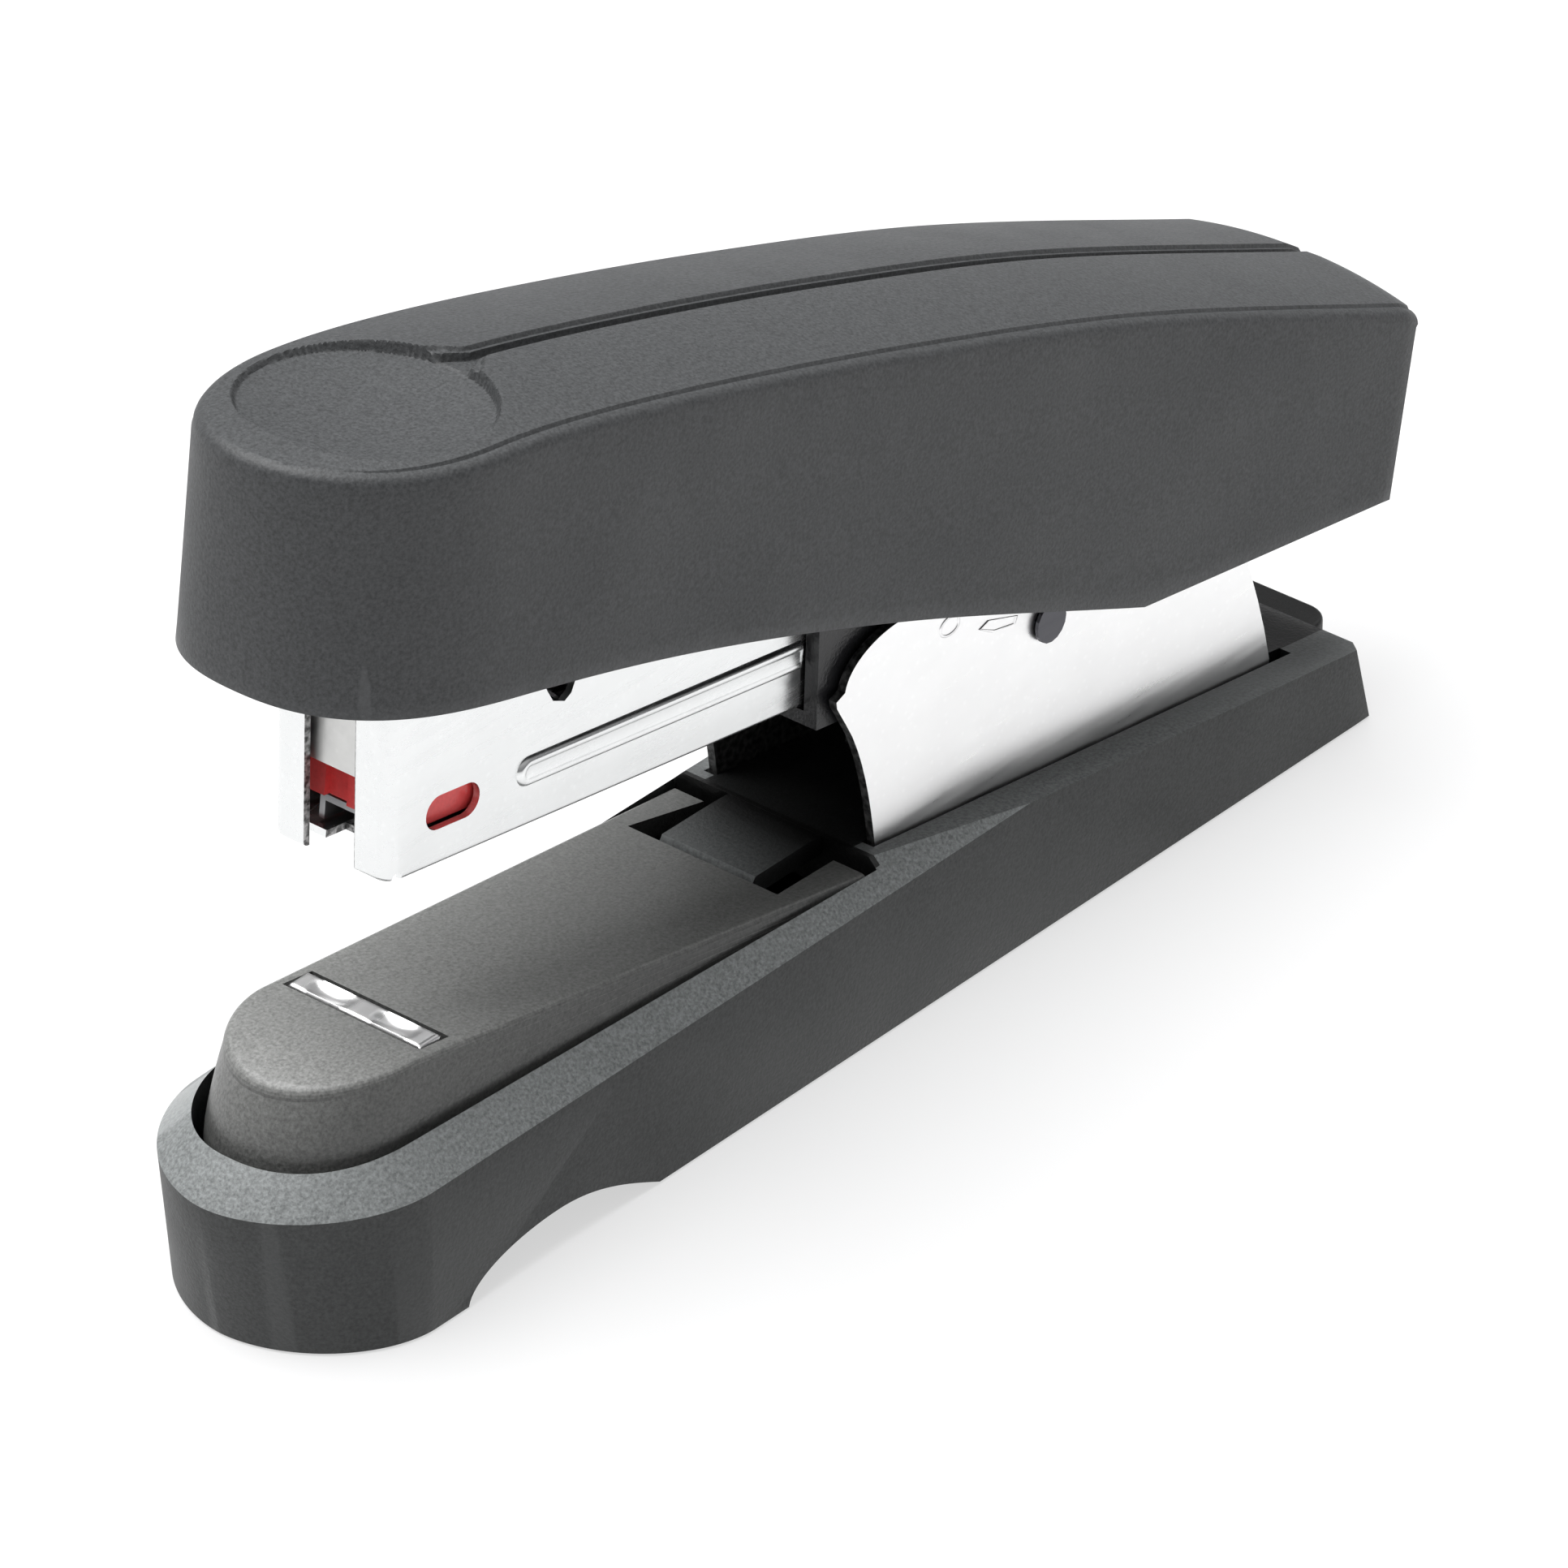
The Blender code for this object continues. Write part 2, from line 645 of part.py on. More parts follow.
def make_anvil():
    """The anvil with its two clinching grooves, and the steel strip that carries it."""
    x0 = ANVIL_FRONT
    x1 = ANVIL_FRONT + ANVIL_LENGTH
    middle = (x0 + x1) / 2
    top = clinch_top_z(middle) + 0.1
    anvil = block("anvil", x0, x1, -ANVIL_HALF_WIDTH, ANVIL_HALF_WIDTH, top - ANVIL_HEIGHT, top)
    for side in (-1, 1):
        trough = [(side * 6.9, top + 0.1), (side * 4.4, top - ANVIL_GROOVE_DEPTH), (side * 1.6, top + 0.1)]
        rings = [[(x, y, z) for y, z in trough] for x in (x0 + 0.7, x1 - 0.7)]
        cut(anvil, loft("trough", rings))
    finish(anvil, "anvil", "chrome", (0.0, 0.0))
    low = NOSE_FLOOR + GAP
    high = low + CARRIER_SHEET
    side = CARRIER_HALF_WIDTH
    strip = block("anvil_carrier", CARRIER_FRONT, RISER_FRONT - 6.0, -side, side, low, high)
    post = block("post", middle - 0.9, middle + 0.9, -side, side, low, top - ANVIL_HEIGHT - GAP)
    finish(join(strip, post), "anvil_carrier", "spring_steel", (0.0, 0.0))


def make_lift_spring():
    """Bent leaf that lifts the magazine: its foot lies on the deck and its tip bears on the sleeve."""
    start = LIFT_SPRING_START
    tip_x = LIFT_SPRING_TIP
    half = LIFT_SPRING_THICKNESS / 2
    foot_x = tip_x + 14.0
    foot_z = deck_z(start) + GAP + half
    path = [(foot_x, deck_z(foot_x) + GAP + half)]
    path += arc(start, foot_z + LIFT_SPRING_BEND, LIFT_SPRING_BEND, 270, 100, 8)
    low_x, low_z = path[-1]
    high = sleeve_bottom_z(tip_x) - GAP - half
    for step in range(1, 8):
        share = step / 7
        rise = (high - low_z) * math.sin(share * math.pi / 2) ** 1.5
        path.append((low_x + (tip_x - low_x) * share, low_z + rise))
    leaf = ribbon("lift_spring", path, LIFT_SPRING_THICKNESS, 4.0)
    finish(leaf, "lift_spring", "spring_steel", (0.0, 0.0))


def ribbon(name, path, thickness, half_width):
    """A flat strip of sheet along a path in X and Z."""
    upper = []
    lower = []
    last = len(path) - 1
    for index, (x, z) in enumerate(path):
        ax, az = path[max(index - 1, 0)]
        bx, bz = path[min(index + 1, last)]
        dx, dz = bx - ax, bz - az
        size = math.hypot(dx, dz)
        nx, nz = -dz / size * thickness / 2, dx / size * thickness / 2
        upper.append((x + nx, z + nz))
        lower.append((x - nx, z - nz))
    return prism_y(name, upper + lower[::-1], -half_width, half_width)


# ---------------------------------------------------------------- clinch cover


def clinch_ring(depth_level, wall=0.0):
    """One ring of the clinch cover's form: 0 at the skirt, 1 below its rounded edge, 2 on top."""
    side_inset = (0.0, CLINCH_TOP_INSET * 0.7, CLINCH_TOP_INSET)[depth_level] + wall
    nose_inset = (0.0, CLINCH_NOSE_INSET * 0.75, CLINCH_NOSE_INSET)[depth_level] + wall
    nose = OPENING_NOSE - CLINCH_NOSE_GAP - nose_inset
    half = OPENING_HALF_WIDTH - CLINCH_SIDE_GAP - side_inset
    centre = 0.8 + 1.4 * depth_level
    taper = CLINCH_TAPER if depth_level == 0 else CLINCH_TOP_TAPER
    plan = nose_plan(centre, nose + 1.4 * depth_level, half, CLINCH_END, taper)
    ring = []
    for x, y in plan:
        top = clinch_top_z(x) - wall
        z = (CLINCH_SKIRT_Z - (1.0 if wall else 0.0), top - 0.9, top)[depth_level]
        ring.append((x, y, z))
    return ring


def clinch_half_width(x):
    """Half width of the clinch cover's skirt."""
    return OPENING_HALF_WIDTH - CLINCH_SIDE_GAP + CLINCH_TAPER * x


def make_clinch_cover():
    cover = loft("clinch_cover", [clinch_ring(level) for level in range(3)], True)
    cut(cover, loft("inside", [clinch_ring(level, CLINCH_WALL) for level in range(3)], True))
    rail_inner = clinch_half_width(CLINCH_PLATE_END) - CLINCH_RAIL
    recess = [(CLINCH_PLATE_END, rail_inner), (CLINCH_END + 2, rail_inner - 1.5)]
    recess += [(x, -y) for x, y in reversed(recess)]
    cut(cover, prism_z("rear_recess", recess, 0.0, 40.0))
    ear_outer = clinch_half_width(CLINCH_PIN_X) - 0.2
    for side in (-1, 1):
        y0, y1 = sorted((side * (ear_outer - 1.8), side * ear_outer))
        outline = arc(CLINCH_PIN_X, CLINCH_PIN_Z, 2.4, 180, 360, 8)
        outline += [(CLINCH_PIN_X + 2.4, 18.0), (CLINCH_PIN_X - 2.4, 18.0)]
        join(cover, prism_y("ear", outline, y0, y1))
    cut(cover, cylinder_y("pin_hole", CLINCH_PIN_X, CLINCH_PIN_Z, CLINCH_PIN_RADIUS + GAP, -20, 20, 16))
    slot_side = ANVIL_HALF_WIDTH + GAP
    slot_end = ANVIL_FRONT + ANVIL_LENGTH + 0.9
    cut(cover, block("anvil_slot", ANVIL_FRONT - 0.4, slot_end, -slot_side, slot_side, 22.5, 40.0))
    finish(cover, "clinch_cover", "deck_plastic", (CLINCH_PIN_X, CLINCH_PIN_Z))
    reach = CLINCH_PIN_HALF_LENGTH
    pin = cylinder_y("clinch_pin", CLINCH_PIN_X, CLINCH_PIN_Z, CLINCH_PIN_RADIUS, -reach, reach, 16)
    finish(pin, "clinch_pin", "spring_steel", (0.0, 0.0))
    low = NOSE_FLOOR + GAP + CARRIER_SHEET + GAP
    high = clinch_top_z(CLINCH_SPRING_X) - CLINCH_WALL - 1.0
    spring = coil("clinch_spring", CLINCH_SPRING_RADIUS, 0.4, 5, high - low, 12, 6)
    move_mesh(spring, Matrix.Translation(Vector((CLINCH_SPRING_X, 0.0, low)) * MM))
    finish(spring, "clinch_spring", "spring_steel", (0.0, 0.0))


# ---------------------------------------------------------------- magazine


def sleeve_bottom_z(x):
    """Height of the underside of the plastic sleeve round the rear of the magazine."""
    return magazine_floor_z(x) - SLEEVE_WALL - GAP


def make_magazine():
    half = MAGAZINE_HALF_WIDTH
    inner = half - MAGAZINE_SHEET
    front_low = (magazine_front_x(MAGAZINE_FRONT_Z), MAGAZINE_FRONT_Z)
    front_high = (magazine_front_x(MAGAZINE_TOP_FRONT_Z), MAGAZINE_TOP_FRONT_Z)
    end_s = (CHANNEL_END - MAGAZINE_FRONT_X) / math.cos(MAGAZINE_PITCH)
    step_s = (STEEL_SIDE_END - MAGAZINE_FRONT_X) / math.cos(MAGAZINE_PITCH)
    side = [front_low, magazine_point(end_s, 0.0), magazine_point(end_s, CHANNEL_LOW_HEIGHT)]
    side += [magazine_point(step_s + 1.0, CHANNEL_LOW_HEIGHT)]
    side += [(STEEL_SIDE_END, MAGAZINE_TOP_REAR_Z), front_high]
    sheet = MAGAZINE_SHEET
    channel = prism_y("magazine_channel", side, -half, half)
    back_low = (magazine_front_x(0.0) + sheet, 0.0)
    back_high = (magazine_front_x(100.0) + sheet, 100.0)
    trough = [magazine_point(s, h) for s, h in ((-9.0, sheet), (end_s + 5, sheet), (end_s + 5, 60.0))]
    cutter = prism_y("trough", trough + [(back_high[0], 100.0), magazine_point(-9.0, 60.0)], -inner, inner)
    behind_front = [back_low, (200.0, 0.0), (200.0, 100.0), back_high]
    cut(channel, combine(cutter, [prism_y("behind", behind_front, -20.0, 20.0)], "INTERSECT"))
    cut(channel, block("slit", -10.0, 9.0, -SLIT_HALF_WIDTH, SLIT_HALF_WIDTH, 0.0, 100.0))
    corners = ((-5.0, -3.0), (BLADE_SLOT, -3.0), (BLADE_SLOT, 3.0), (-5.0, 3.0))
    throat = [magazine_point(s, h) for s, h in corners]
    cutter = prism_y("throat", throat, -inner, inner)
    cut(channel, combine(cutter, [prism_y("behind", behind_front, -20.0, 20.0)], "INTERSECT"))
    for sign in (-1, 1):
        y0, y1 = sorted((sign * (inner - 1.0), sign * (half + 1.0)))
        cut(channel, prism_y("window", stadium(WINDOW_S, WINDOW_H, WINDOW_LENGTH, WINDOW_HEIGHT), y0, y1))
        bead_end = step_s - 1.0
        bead_reach = BEAD_HEIGHT / 2
        bead = arc(BEAD_START + bead_reach, BEAD_H, bead_reach, 270, 90, 8)
        bead += [(bead_end, BEAD_H + bead_reach), (bead_end, BEAD_H - bead_reach)]
        y0, y1 = sorted((sign * (half - 0.3), sign * (half + BEAD_RAISE)))
        join(channel, prism_y("bead", [magazine_point(s, h) for s, h in bead], y0, y1))
    for s in sleeve_rivet_stations():
        cut(channel, rivet_bar("hole", s, 1.3, -1.0, 2.0))
    finish(channel, "magazine_channel", "bright_steel", (HINGE_X, HINGE_Z))
    make_staple_rail(end_s)
    make_sleeve(end_s, step_s)


def sleeve_rivet_stations():
    """Distances along the magazine of the rivets that hold it to its sleeve."""
    return (72.0, 100.0)


def rivet_bar(name, s, radius, h0, h1):
    """A round bar square to the magazine's floor."""
    x0, z0 = magazine_point(s, h0)
    bar = cylinder_z(name, 0.0, 0.0, radius, 0.0, h1 - h0, 12)
    turn = Matrix.Rotation(MAGAZINE_PITCH, 4, "Y")
    return move_mesh(bar, Matrix.Translation(Vector((x0, 0.0, z0)) * MM) @ turn)


def make_staple_rail(end_s):
    """Low inverted channel that the staples straddle."""
    start = BLADE_SLOT + 1.2
    low = MAGAZINE_SHEET + GAP
    high = low + RAIL_HEIGHT
    end = end_s - 6
    outline = [magazine_point(s, h) for s, h in ((start, low), (end, low), (end, high), (start, high))]
    rail = prism_y("staple_rail", outline, -RAIL_HALF_WIDTH, RAIL_HALF_WIDTH)
    under = high - RAIL_SHEET
    corners = ((start - 2, low - 1), (end_s, low - 1), (end_s, under), (start - 2, under))
    inside = [magazine_point(s, h) for s, h in corners]
    side = RAIL_HALF_WIDTH - RAIL_SHEET
    cut(rail, prism_y("inside", inside, -side, side))
    finish(rail, "staple_rail", "spring_steel", (HINGE_X, HINGE_Z))
    rivets = []
    for s in sleeve_rivet_stations():
        shank = rivet_bar("shank", s, 1.0, -GAP - SLEEVE_WALL - 0.1, MAGAZINE_SHEET + GAP + 0.1)
        head = rivet_bar("head", s, 1.9, MAGAZINE_SHEET + GAP, MAGAZINE_SHEET + GAP + 0.5)
        tail = rivet_bar("tail", s, 1.9, -GAP - SLEEVE_WALL - GAP - 0.6, -GAP - SLEEVE_WALL - GAP)
        join(shank, head)
        join(shank, rivet_bar("neck", s, 1.0, -GAP - SLEEVE_WALL - GAP - 0.3, -GAP - SLEEVE_WALL))
        rivets.append(join(shank, tail))
    finish_each(rivets, "magazine_rivet", ("front", "rear"), "dark_steel", (HINGE_X, HINGE_Z))


def make_sleeve(end_s, step_s):
    """Black sleeve that holds the rear of the magazine and turns on the axle."""
    outer = PLATE_INNER - 0.4
    inner = MAGAZINE_HALF_WIDTH + GAP
    start = step_s + 0.5
    under = -GAP - SLEEVE_WALL
    top = [(STEEL_SIDE_END + 1.0, MAGAZINE_TOP_REAR_Z - 1.0), (100.0, HINGE_Z)]
    outline = [magazine_point(start, under), magazine_point(end_s + 4, under)]
    outline += arc(HINGE_X, HINGE_Z, BOSS_RADIUS - 0.3, -60, 100, 10) + [top[1], top[0]]
    sleeve = prism_y("magazine_sleeve", outline, -outer, outer)
    trough = [(start - 3, -GAP), (end_s + GAP, -GAP), (end_s + GAP, 40.0), (start - 3, 40.0)]
    cut(sleeve, prism_y("trough", [magazine_point(s, h) for s, h in trough], -inner, inner))
    cut(sleeve, cylinder_y("bore", HINGE_X, HINGE_Z, BUSH_RADIUS + GAP, -20, 20))
    for s in sleeve_rivet_stations():
        cut(sleeve, rivet_bar("hole", s, 1.3, under - 2.0, 1.0))
    finish(sleeve, "magazine_sleeve", "black_plastic", (HINGE_X, HINGE_Z))
    bush = cylinder_y("axle_bush", HINGE_X, HINGE_Z, BUSH_RADIUS, -outer, outer)
    cut(bush, cylinder_y("bore", HINGE_X, HINGE_Z, AXLE_RADIUS + GAP, -20, 20))
    finish(bush, "axle_bush", "spring_steel", (HINGE_X, HINGE_Z))


def pusher_start():
    """Distance along the magazine of the pusher's front face."""
    return BLADE_SLOT + 0.3


def make_pusher():
    low = MAGAZINE_SHEET + GAP + RAIL_HEIGHT + GAP
    high = low + PUSHER_HEIGHT
    start = pusher_start()
    end = start + PUSHER_LENGTH
    side = MAGAZINE_HALF_WIDTH - MAGAZINE_SHEET - PUSHER_SIDE_GAP
    outline = [(start, low), (end, low), (end, high - 1.4), (end - 5, high), (start, high)]
    pusher = prism_y("staple_pusher", [magazine_point(s, h) for s, h in outline], -side, side)
    for sign in (-1, 1):
        y0, y1 = sorted((sign * PUSHER_RIB_HALF_WIDTH, sign * (side - 2.2)))
        deep = start + 0.8
        pocket = [(start - 1, low - 1), (deep, low - 1), (deep, high + 1), (start - 1, high + 1)]
        cut(pusher, prism_y("pocket", [magazine_point(s, h) for s, h in pocket], y0, y1))
    seat_radius = SPRING_RADIUS + SPRING_WIRE + SPRING_SEAT_GAP
    seat = rod_along("seat", end - 5.0, end + 1.0, spring_height(), seat_radius)
    cut(pusher, seat)
    finish(pusher, "staple_pusher", "red_plastic", (HINGE_X, HINGE_Z))
    rear_s = (CHANNEL_END - MAGAZINE_FRONT_X) / math.cos(MAGAZINE_PITCH)
    length = rear_s - (end - 5.0) - 2 * GAP
    spring = coil("pusher_spring", SPRING_RADIUS, SPRING_WIRE, SPRING_TURNS, length)
    lay = Matrix.Rotation(math.pi / 2 + MAGAZINE_PITCH, 4, "Y")
    x, z = magazine_point(end - 5.0 + GAP, spring_height())
    move_mesh(spring, Matrix.Translation(Vector((x, 0.0, z)) * MM) @ lay)
    finish(spring, "pusher_spring", "spring_steel", (HINGE_X, HINGE_Z))


def spring_height():
    """Height of the pusher spring's centre line above the magazine's underside."""
    above_rail = MAGAZINE_SHEET + GAP + RAIL_HEIGHT + GAP
    return above_rail + SPRING_SEAT_WALL + SPRING_RADIUS + SPRING_WIRE + SPRING_SEAT_GAP


def rod_along(name, s0, s1, h, radius, steps=16):
    """A round bar along the magazine."""
    bar = cylinder_z(name, 0.0, 0.0, radius, 0.0, s1 - s0, steps)
    x, z = magazine_point(s0, h)
    lay = Matrix.Rotation(math.pi / 2 + MAGAZINE_PITCH, 4, "Y")
    return move_mesh(bar, Matrix.Translation(Vector((x, 0.0, z)) * MM) @ lay)


# ---------------------------------------------------------------- handle


def cover_section(station, inset, top_z):
    """Points of one cross-section of the handle cover, from its lower edge on +Y to that on -Y."""
    angle, share = station
    nose = -abs(math.cos(angle))
    side = math.sin(angle)
    half = []
    straight = COVER_REAR_TOP_X - inset - COVER_NOSE_CENTRE
    x_top = COVER_NOSE_CENTRE + nose * (COVER_NOSE_LENGTH - inset) + share * straight
    width_top = (COVER_HALF_WIDTH - inset) * side
    edge_z = top_z(x_top, width_top)
    lower_x = COVER_NOSE_CENTRE + share * (COVER_REAR_BOTTOM_X - inset - COVER_NOSE_CENTRE)
    deep = edge_z - cover_bottom_z(max(lower_x, x_top if share == 0.0 else lower_x))
    for level in (1.0, 0.5):
        depth = deep * level
        square = 1.0 - COVER_NOSE_SQUARING * level
        along = share * (straight + (COVER_REAR_BOTTOM_X - COVER_REAR_TOP_X) * level)
        reach = COVER_NOSE_LENGTH - inset + COVER_NOSE_DRAFT * depth
        x = COVER_NOSE_CENTRE - abs(nose) ** square * reach + along
        y = side**square * (COVER_HALF_WIDTH - inset + COVER_DRAFT * depth)
        z = cover_bottom_z(x) if level == 1.0 else edge_z - depth
        half.append((x, y, z))
    fillet = max(COVER_FILLET - inset, 0.4)
    for angle in (0, 45, 90):
        inward = fillet * (1 - math.cos(math.radians(angle)))
        drop = fillet * (1 - math.sin(math.radians(angle)))
        x = x_top - nose * inward
        half.append((x, side * (COVER_HALF_WIDTH - inset - inward), edge_z - drop))
    top_y = half[-1][1]
    for share_y in (0.8, 0.55, 0.28, 0.0):
        y = top_y * share_y
        x = x_top - nose * fillet + COVER_REAR_BOW * share**8 * (1.0 - share_y * share_y)
        half.append((x, y, top_z(x, y)))
    return half + [(x, -y, z) for x, y, z in reversed(half[:-1])]


def cover_stations(nose_steps=NOSE_STEPS, straight_steps=14):
    """Stations along the cover: round the nose, then back to its rear, with one on the kink."""
    stations = []
    for step in range(nose_steps + 1):
        angle = math.pi / 2 * step / nose_steps
        stations.append((angle, 0.0))
    kink = (COVER_KINK_X - COVER_NOSE_CENTRE) / (COVER_REAR_BOTTOM_X - COVER_NOSE_CENTRE)
    front_steps = round(straight_steps * kink)
    rear_steps = straight_steps - front_steps
    shares = [kink * (step + 1) / front_steps for step in range(front_steps)]
    shares += [kink + (1 - kink) * (step + 1) / rear_steps for step in range(rear_steps)]
    return stations + [(math.pi / 2, share) for share in shares]


def cover_skin(inset, top_z):
    """All sections of the cover's outer or inner skin."""
    return [cover_section(station, inset, top_z) for station in cover_stations()]


def make_handle_cover():
    outer = cover_skin(0.0, cover_top_z)
    inner = cover_skin(COVER_WALL, cover_under_z)
    count = len(outer[0])
    rows = len(outer)
    verts = [point for section in outer + inner for point in section]
    faces = []
    for skin in (0, rows):
        for row in range(rows - 1):
            for column in range(count - 1):
                a = (skin + row) * count + column
                faces.append((a, a + 1, a + count + 1, a + count))
    shift = rows * count
    for row in range(rows - 1):
        for column in (0, count - 1):
            a = row * count + column
            faces.append((a, a + count, a + count + shift, a + shift))
    last = (rows - 1) * count
    for start in (last, last + shift):
        for step in range(count // 2):
            faces.append((start + step, start + step + 1, start + count - 2 - step, start + count - 1 - step))
    faces.append((last, last + count - 1, last + count - 1 + shift, last + shift))
    cover = solid_from("handle_cover", verts, faces)
    side = COVER_HALF_WIDTH - COVER_WALL - 0.4
    cut(cover, block("apron", COVER_REAR_BOTTOM_X - 6, COVER_REAR_TOP_X + 6, -side, side, 20.0, APRON_BOTTOM))
    cut(cover, dish_cutter(), groove_cutter())
    for x in SCREW_STATIONS:
        top = cover_under_z(x, 0.0) + 0.4
        join(cover, cylinder_z("boss", x, 0.0, 3.0, chassis_top_z(x - 3.0) + GAP, top, 16))
        cut(cover, cylinder_z("hole", x, 0.0, 1.3, chassis_top_z(x) - 1.0, top - 1.0, 12))
    finish(cover, "handle_cover", "charcoal_plastic", (HINGE_X, HINGE_Z))


def dish_cutter():
    """Round thumb dish: a low step with a shallow bowl below it, tilted with the cover's nose."""
    rings = [[(DISH_RADIUS * math.cos(a), DISH_RADIUS * math.sin(a), 6.0) for a in turn_angles()]]
    for share in (1.0, 0.75, 0.5, 0.25):
        radius = DISH_RADIUS * share
        drop = -DISH_DEPTH - DISH_BOWL * (1 - share * share)
        rings.append([(radius * math.cos(a), radius * math.sin(a), drop) for a in turn_angles()])
    cutter = loft("dish", rings)
    tilt = Matrix.Rotation(DISH_TILT, 4, "Y")
    place = Vector((DISH_X, 0.0, cover_top_z(DISH_X, 0.0))) * MM
    return move_mesh(cutter, Matrix.Translation(place) @ tilt)


def turn_angles(steps=36):
    """Angles once round a circle."""
    return [2 * math.pi * step / steps for step in range(steps)]


def groove_cutter():
    """Narrow groove along the middle of the cover's top, from the dish out through the rear."""
    start = DISH_X + DISH_RADIUS - 1.0
    end = COVER_REAR_TOP_X + 3.0
    rings = []
    for step in range(17):
        x = start + (end - start) * step / 16
        z = cover_top_z(x, 0.0)
        corners = ((-1, 3.0), (-1, -GROOVE_DEPTH), (1, -GROOVE_DEPTH), (1, 3.0))
        rings.append([(x, side * GROOVE_HALF_WIDTH, z + dz) for side, dz in corners])
    return loft("groove", rings)


def chassis_top_z(x):
    """Height of the chassis web under the cover's top."""
    return cover_under_z(x, CHASSIS_HALF_WIDTH) - CHASSIS_DROP


def make_chassis():
    """Pressed steel lever inside the cover: a web with two flanges that turn on the axle."""
    stations = [CHASSIS_FRONT + (CHASSIS_WEB_END - CHASSIS_FRONT) * step / 12 for step in range(13)]
    upper = [(x, chassis_top_z(x)) for x in stations]
    lower = [(x, z - CHASSIS_SHEET) for x, z in reversed(upper)]
    half = CHASSIS_HALF_WIDTH
    chassis = prism_y("handle_chassis", upper + lower, -half, half)
    flange_low = [(x, chassis_top_z(x) - CHASSIS_FLANGE) for x in reversed(stations[:9])]
    boss = arc(HINGE_X, HINGE_Z, BOSS_RADIUS, 20, -140, 10)
    flange = upper + boss + flange_low
    for sign in (-1, 1):
        y0, y1 = sorted((sign * (half - CHASSIS_SHEET), sign * half))
        join(chassis, prism_y("flange", flange, y0, y1))
    cut(chassis, cylinder_y("axle_hole", HINGE_X, HINGE_Z, AXLE_RADIUS + GAP, -20, 20))
    for x in SCREW_STATIONS:
        cut(chassis, cylinder_z("hole", x, 0.0, 1.4, chassis_top_z(x) - 5, chassis_top_z(x) + 5, 12))
    trim = BLADE_HALF_WIDTH + 2.0
    for y0, y1 in ((trim, 20.0), (-20.0, -trim)):
        cut(chassis, block("nose_trim", 0.0, 30.0, y0, y1, 0.0, chassis_top_z(30.0) - 1.6))
    finish(chassis, "handle_chassis", "spring_steel", (HINGE_X, HINGE_Z))
    screws = []
    for x in SCREW_STATIONS:
        web = chassis_top_z(x) - CHASSIS_SHEET
        shank = cylinder_z("shank", x, 0.0, 1.0, web - 2.0, cover_under_z(x, 0.0) - 1.0, 12)
        screws.append(join(shank, cylinder_z("head", x, 0.0, 2.4, web - 2.6, web - 1.2, 16)))
    finish_each(screws, "cover_screw", ("front", "rear"), "spring_steel", (HINGE_X, HINGE_Z))


def blade_x(z):
    """The driver blade's middle plane; it leans so that it runs along its arc about the hinge."""
    return BLADE_X + BLADE_LEAN * (z - BLADE_BOTTOM)


def make_driver():
    """Driver blade, bent back over the chassis web and riveted under it."""
    bend_z = chassis_top_z(CHASSIS_FRONT) - CHASSIS_SHEET - GAP - BLADE_THICKNESS / 2
    half = BLADE_THICKNESS / 2
    tail_x = CHASSIS_FRONT + 12.0
    tail_z = chassis_top_z(tail_x) - CHASSIS_SHEET - GAP - BLADE_THICKNESS / 2
    path = [(blade_x(BLADE_BOTTOM), BLADE_BOTTOM), (blade_x(bend_z - 2.0), bend_z - 2.0)]
    path += [(blade_x(bend_z) + 0.8, bend_z - 0.2), (CHASSIS_FRONT + 1.6, bend_z), (tail_x, tail_z)]
    blade = ribbon("driver_blade", path, 2 * half, BLADE_HALF_WIDTH)
    rivets = []
    rivet_x = CHASSIS_FRONT + 8.0
    web = chassis_top_z(rivet_x)
    for y in (-3.5, 3.5):
        cut(blade, cylinder_z("hole", rivet_x, y, 1.3, web - 6, web + 6, 12))
        chassis = bpy.data.objects["handle_chassis"]
        hole = cylinder_z("hole", rivet_x, y, 1.3, web - 6, web + 6, 12)
        move_mesh(hole, Matrix.Translation(-chassis.location))
        hole.location = chassis.location
        cut(chassis, hole)
        low = web - CHASSIS_SHEET - GAP - BLADE_THICKNESS - 0.5
        stem = cylinder_z("stem", rivet_x, y, 1.0, low - 0.4, web + 0.7, 12)
        join(stem, cylinder_z("top", rivet_x, y, 1.8, web + 0.45, web + 0.9, 12))
        rivets.append(join(stem, cylinder_z("tail", rivet_x, y, 1.8, low - 0.6, low - 0.1, 12)))
    finish(blade, "driver_blade", "bright_steel", (HINGE_X, HINGE_Z))
    finish_each(rivets, "blade_rivet", ("near", "far"), "dark_steel", (HINGE_X, HINGE_Z))
    material_again = bpy.data.objects["handle_chassis"].data
    material_again.shade_smooth()
    material_again.set_sharp_from_angle(angle=math.radians(35))


def make_handle_spring():
    """Leaf spring from the chassis web down to the magazine's top edges; it lifts the handle."""
    anchor = 92.0
    tip = 48.0
    tip_z = magazine_top_z(tip) + GAP + LEAF_THICKNESS
    tip_drop = tip_z - (chassis_top_z(tip) - CHASSIS_SHEET - GAP - LEAF_THICKNESS)
    path = []
    for step in range(9):
        share = step / 8
        x = anchor + (tip - anchor) * share
        flat = chassis_top_z(x) - CHASSIS_SHEET - GAP - LEAF_THICKNESS
        path.append((x, flat + tip_drop * share * share))
    path.append((tip - 4.0, tip_z + 1.6))
    path.insert(0, (anchor + 7.0, chassis_top_z(anchor + 7.0) - CHASSIS_SHEET - GAP - LEAF_THICKNESS))
    leaf = ribbon("handle_spring", path, LEAF_THICKNESS, MAGAZINE_HALF_WIDTH + LEAF_OVERHANG)
    finish(leaf, "handle_spring", "spring_steel", (HINGE_X, HINGE_Z))


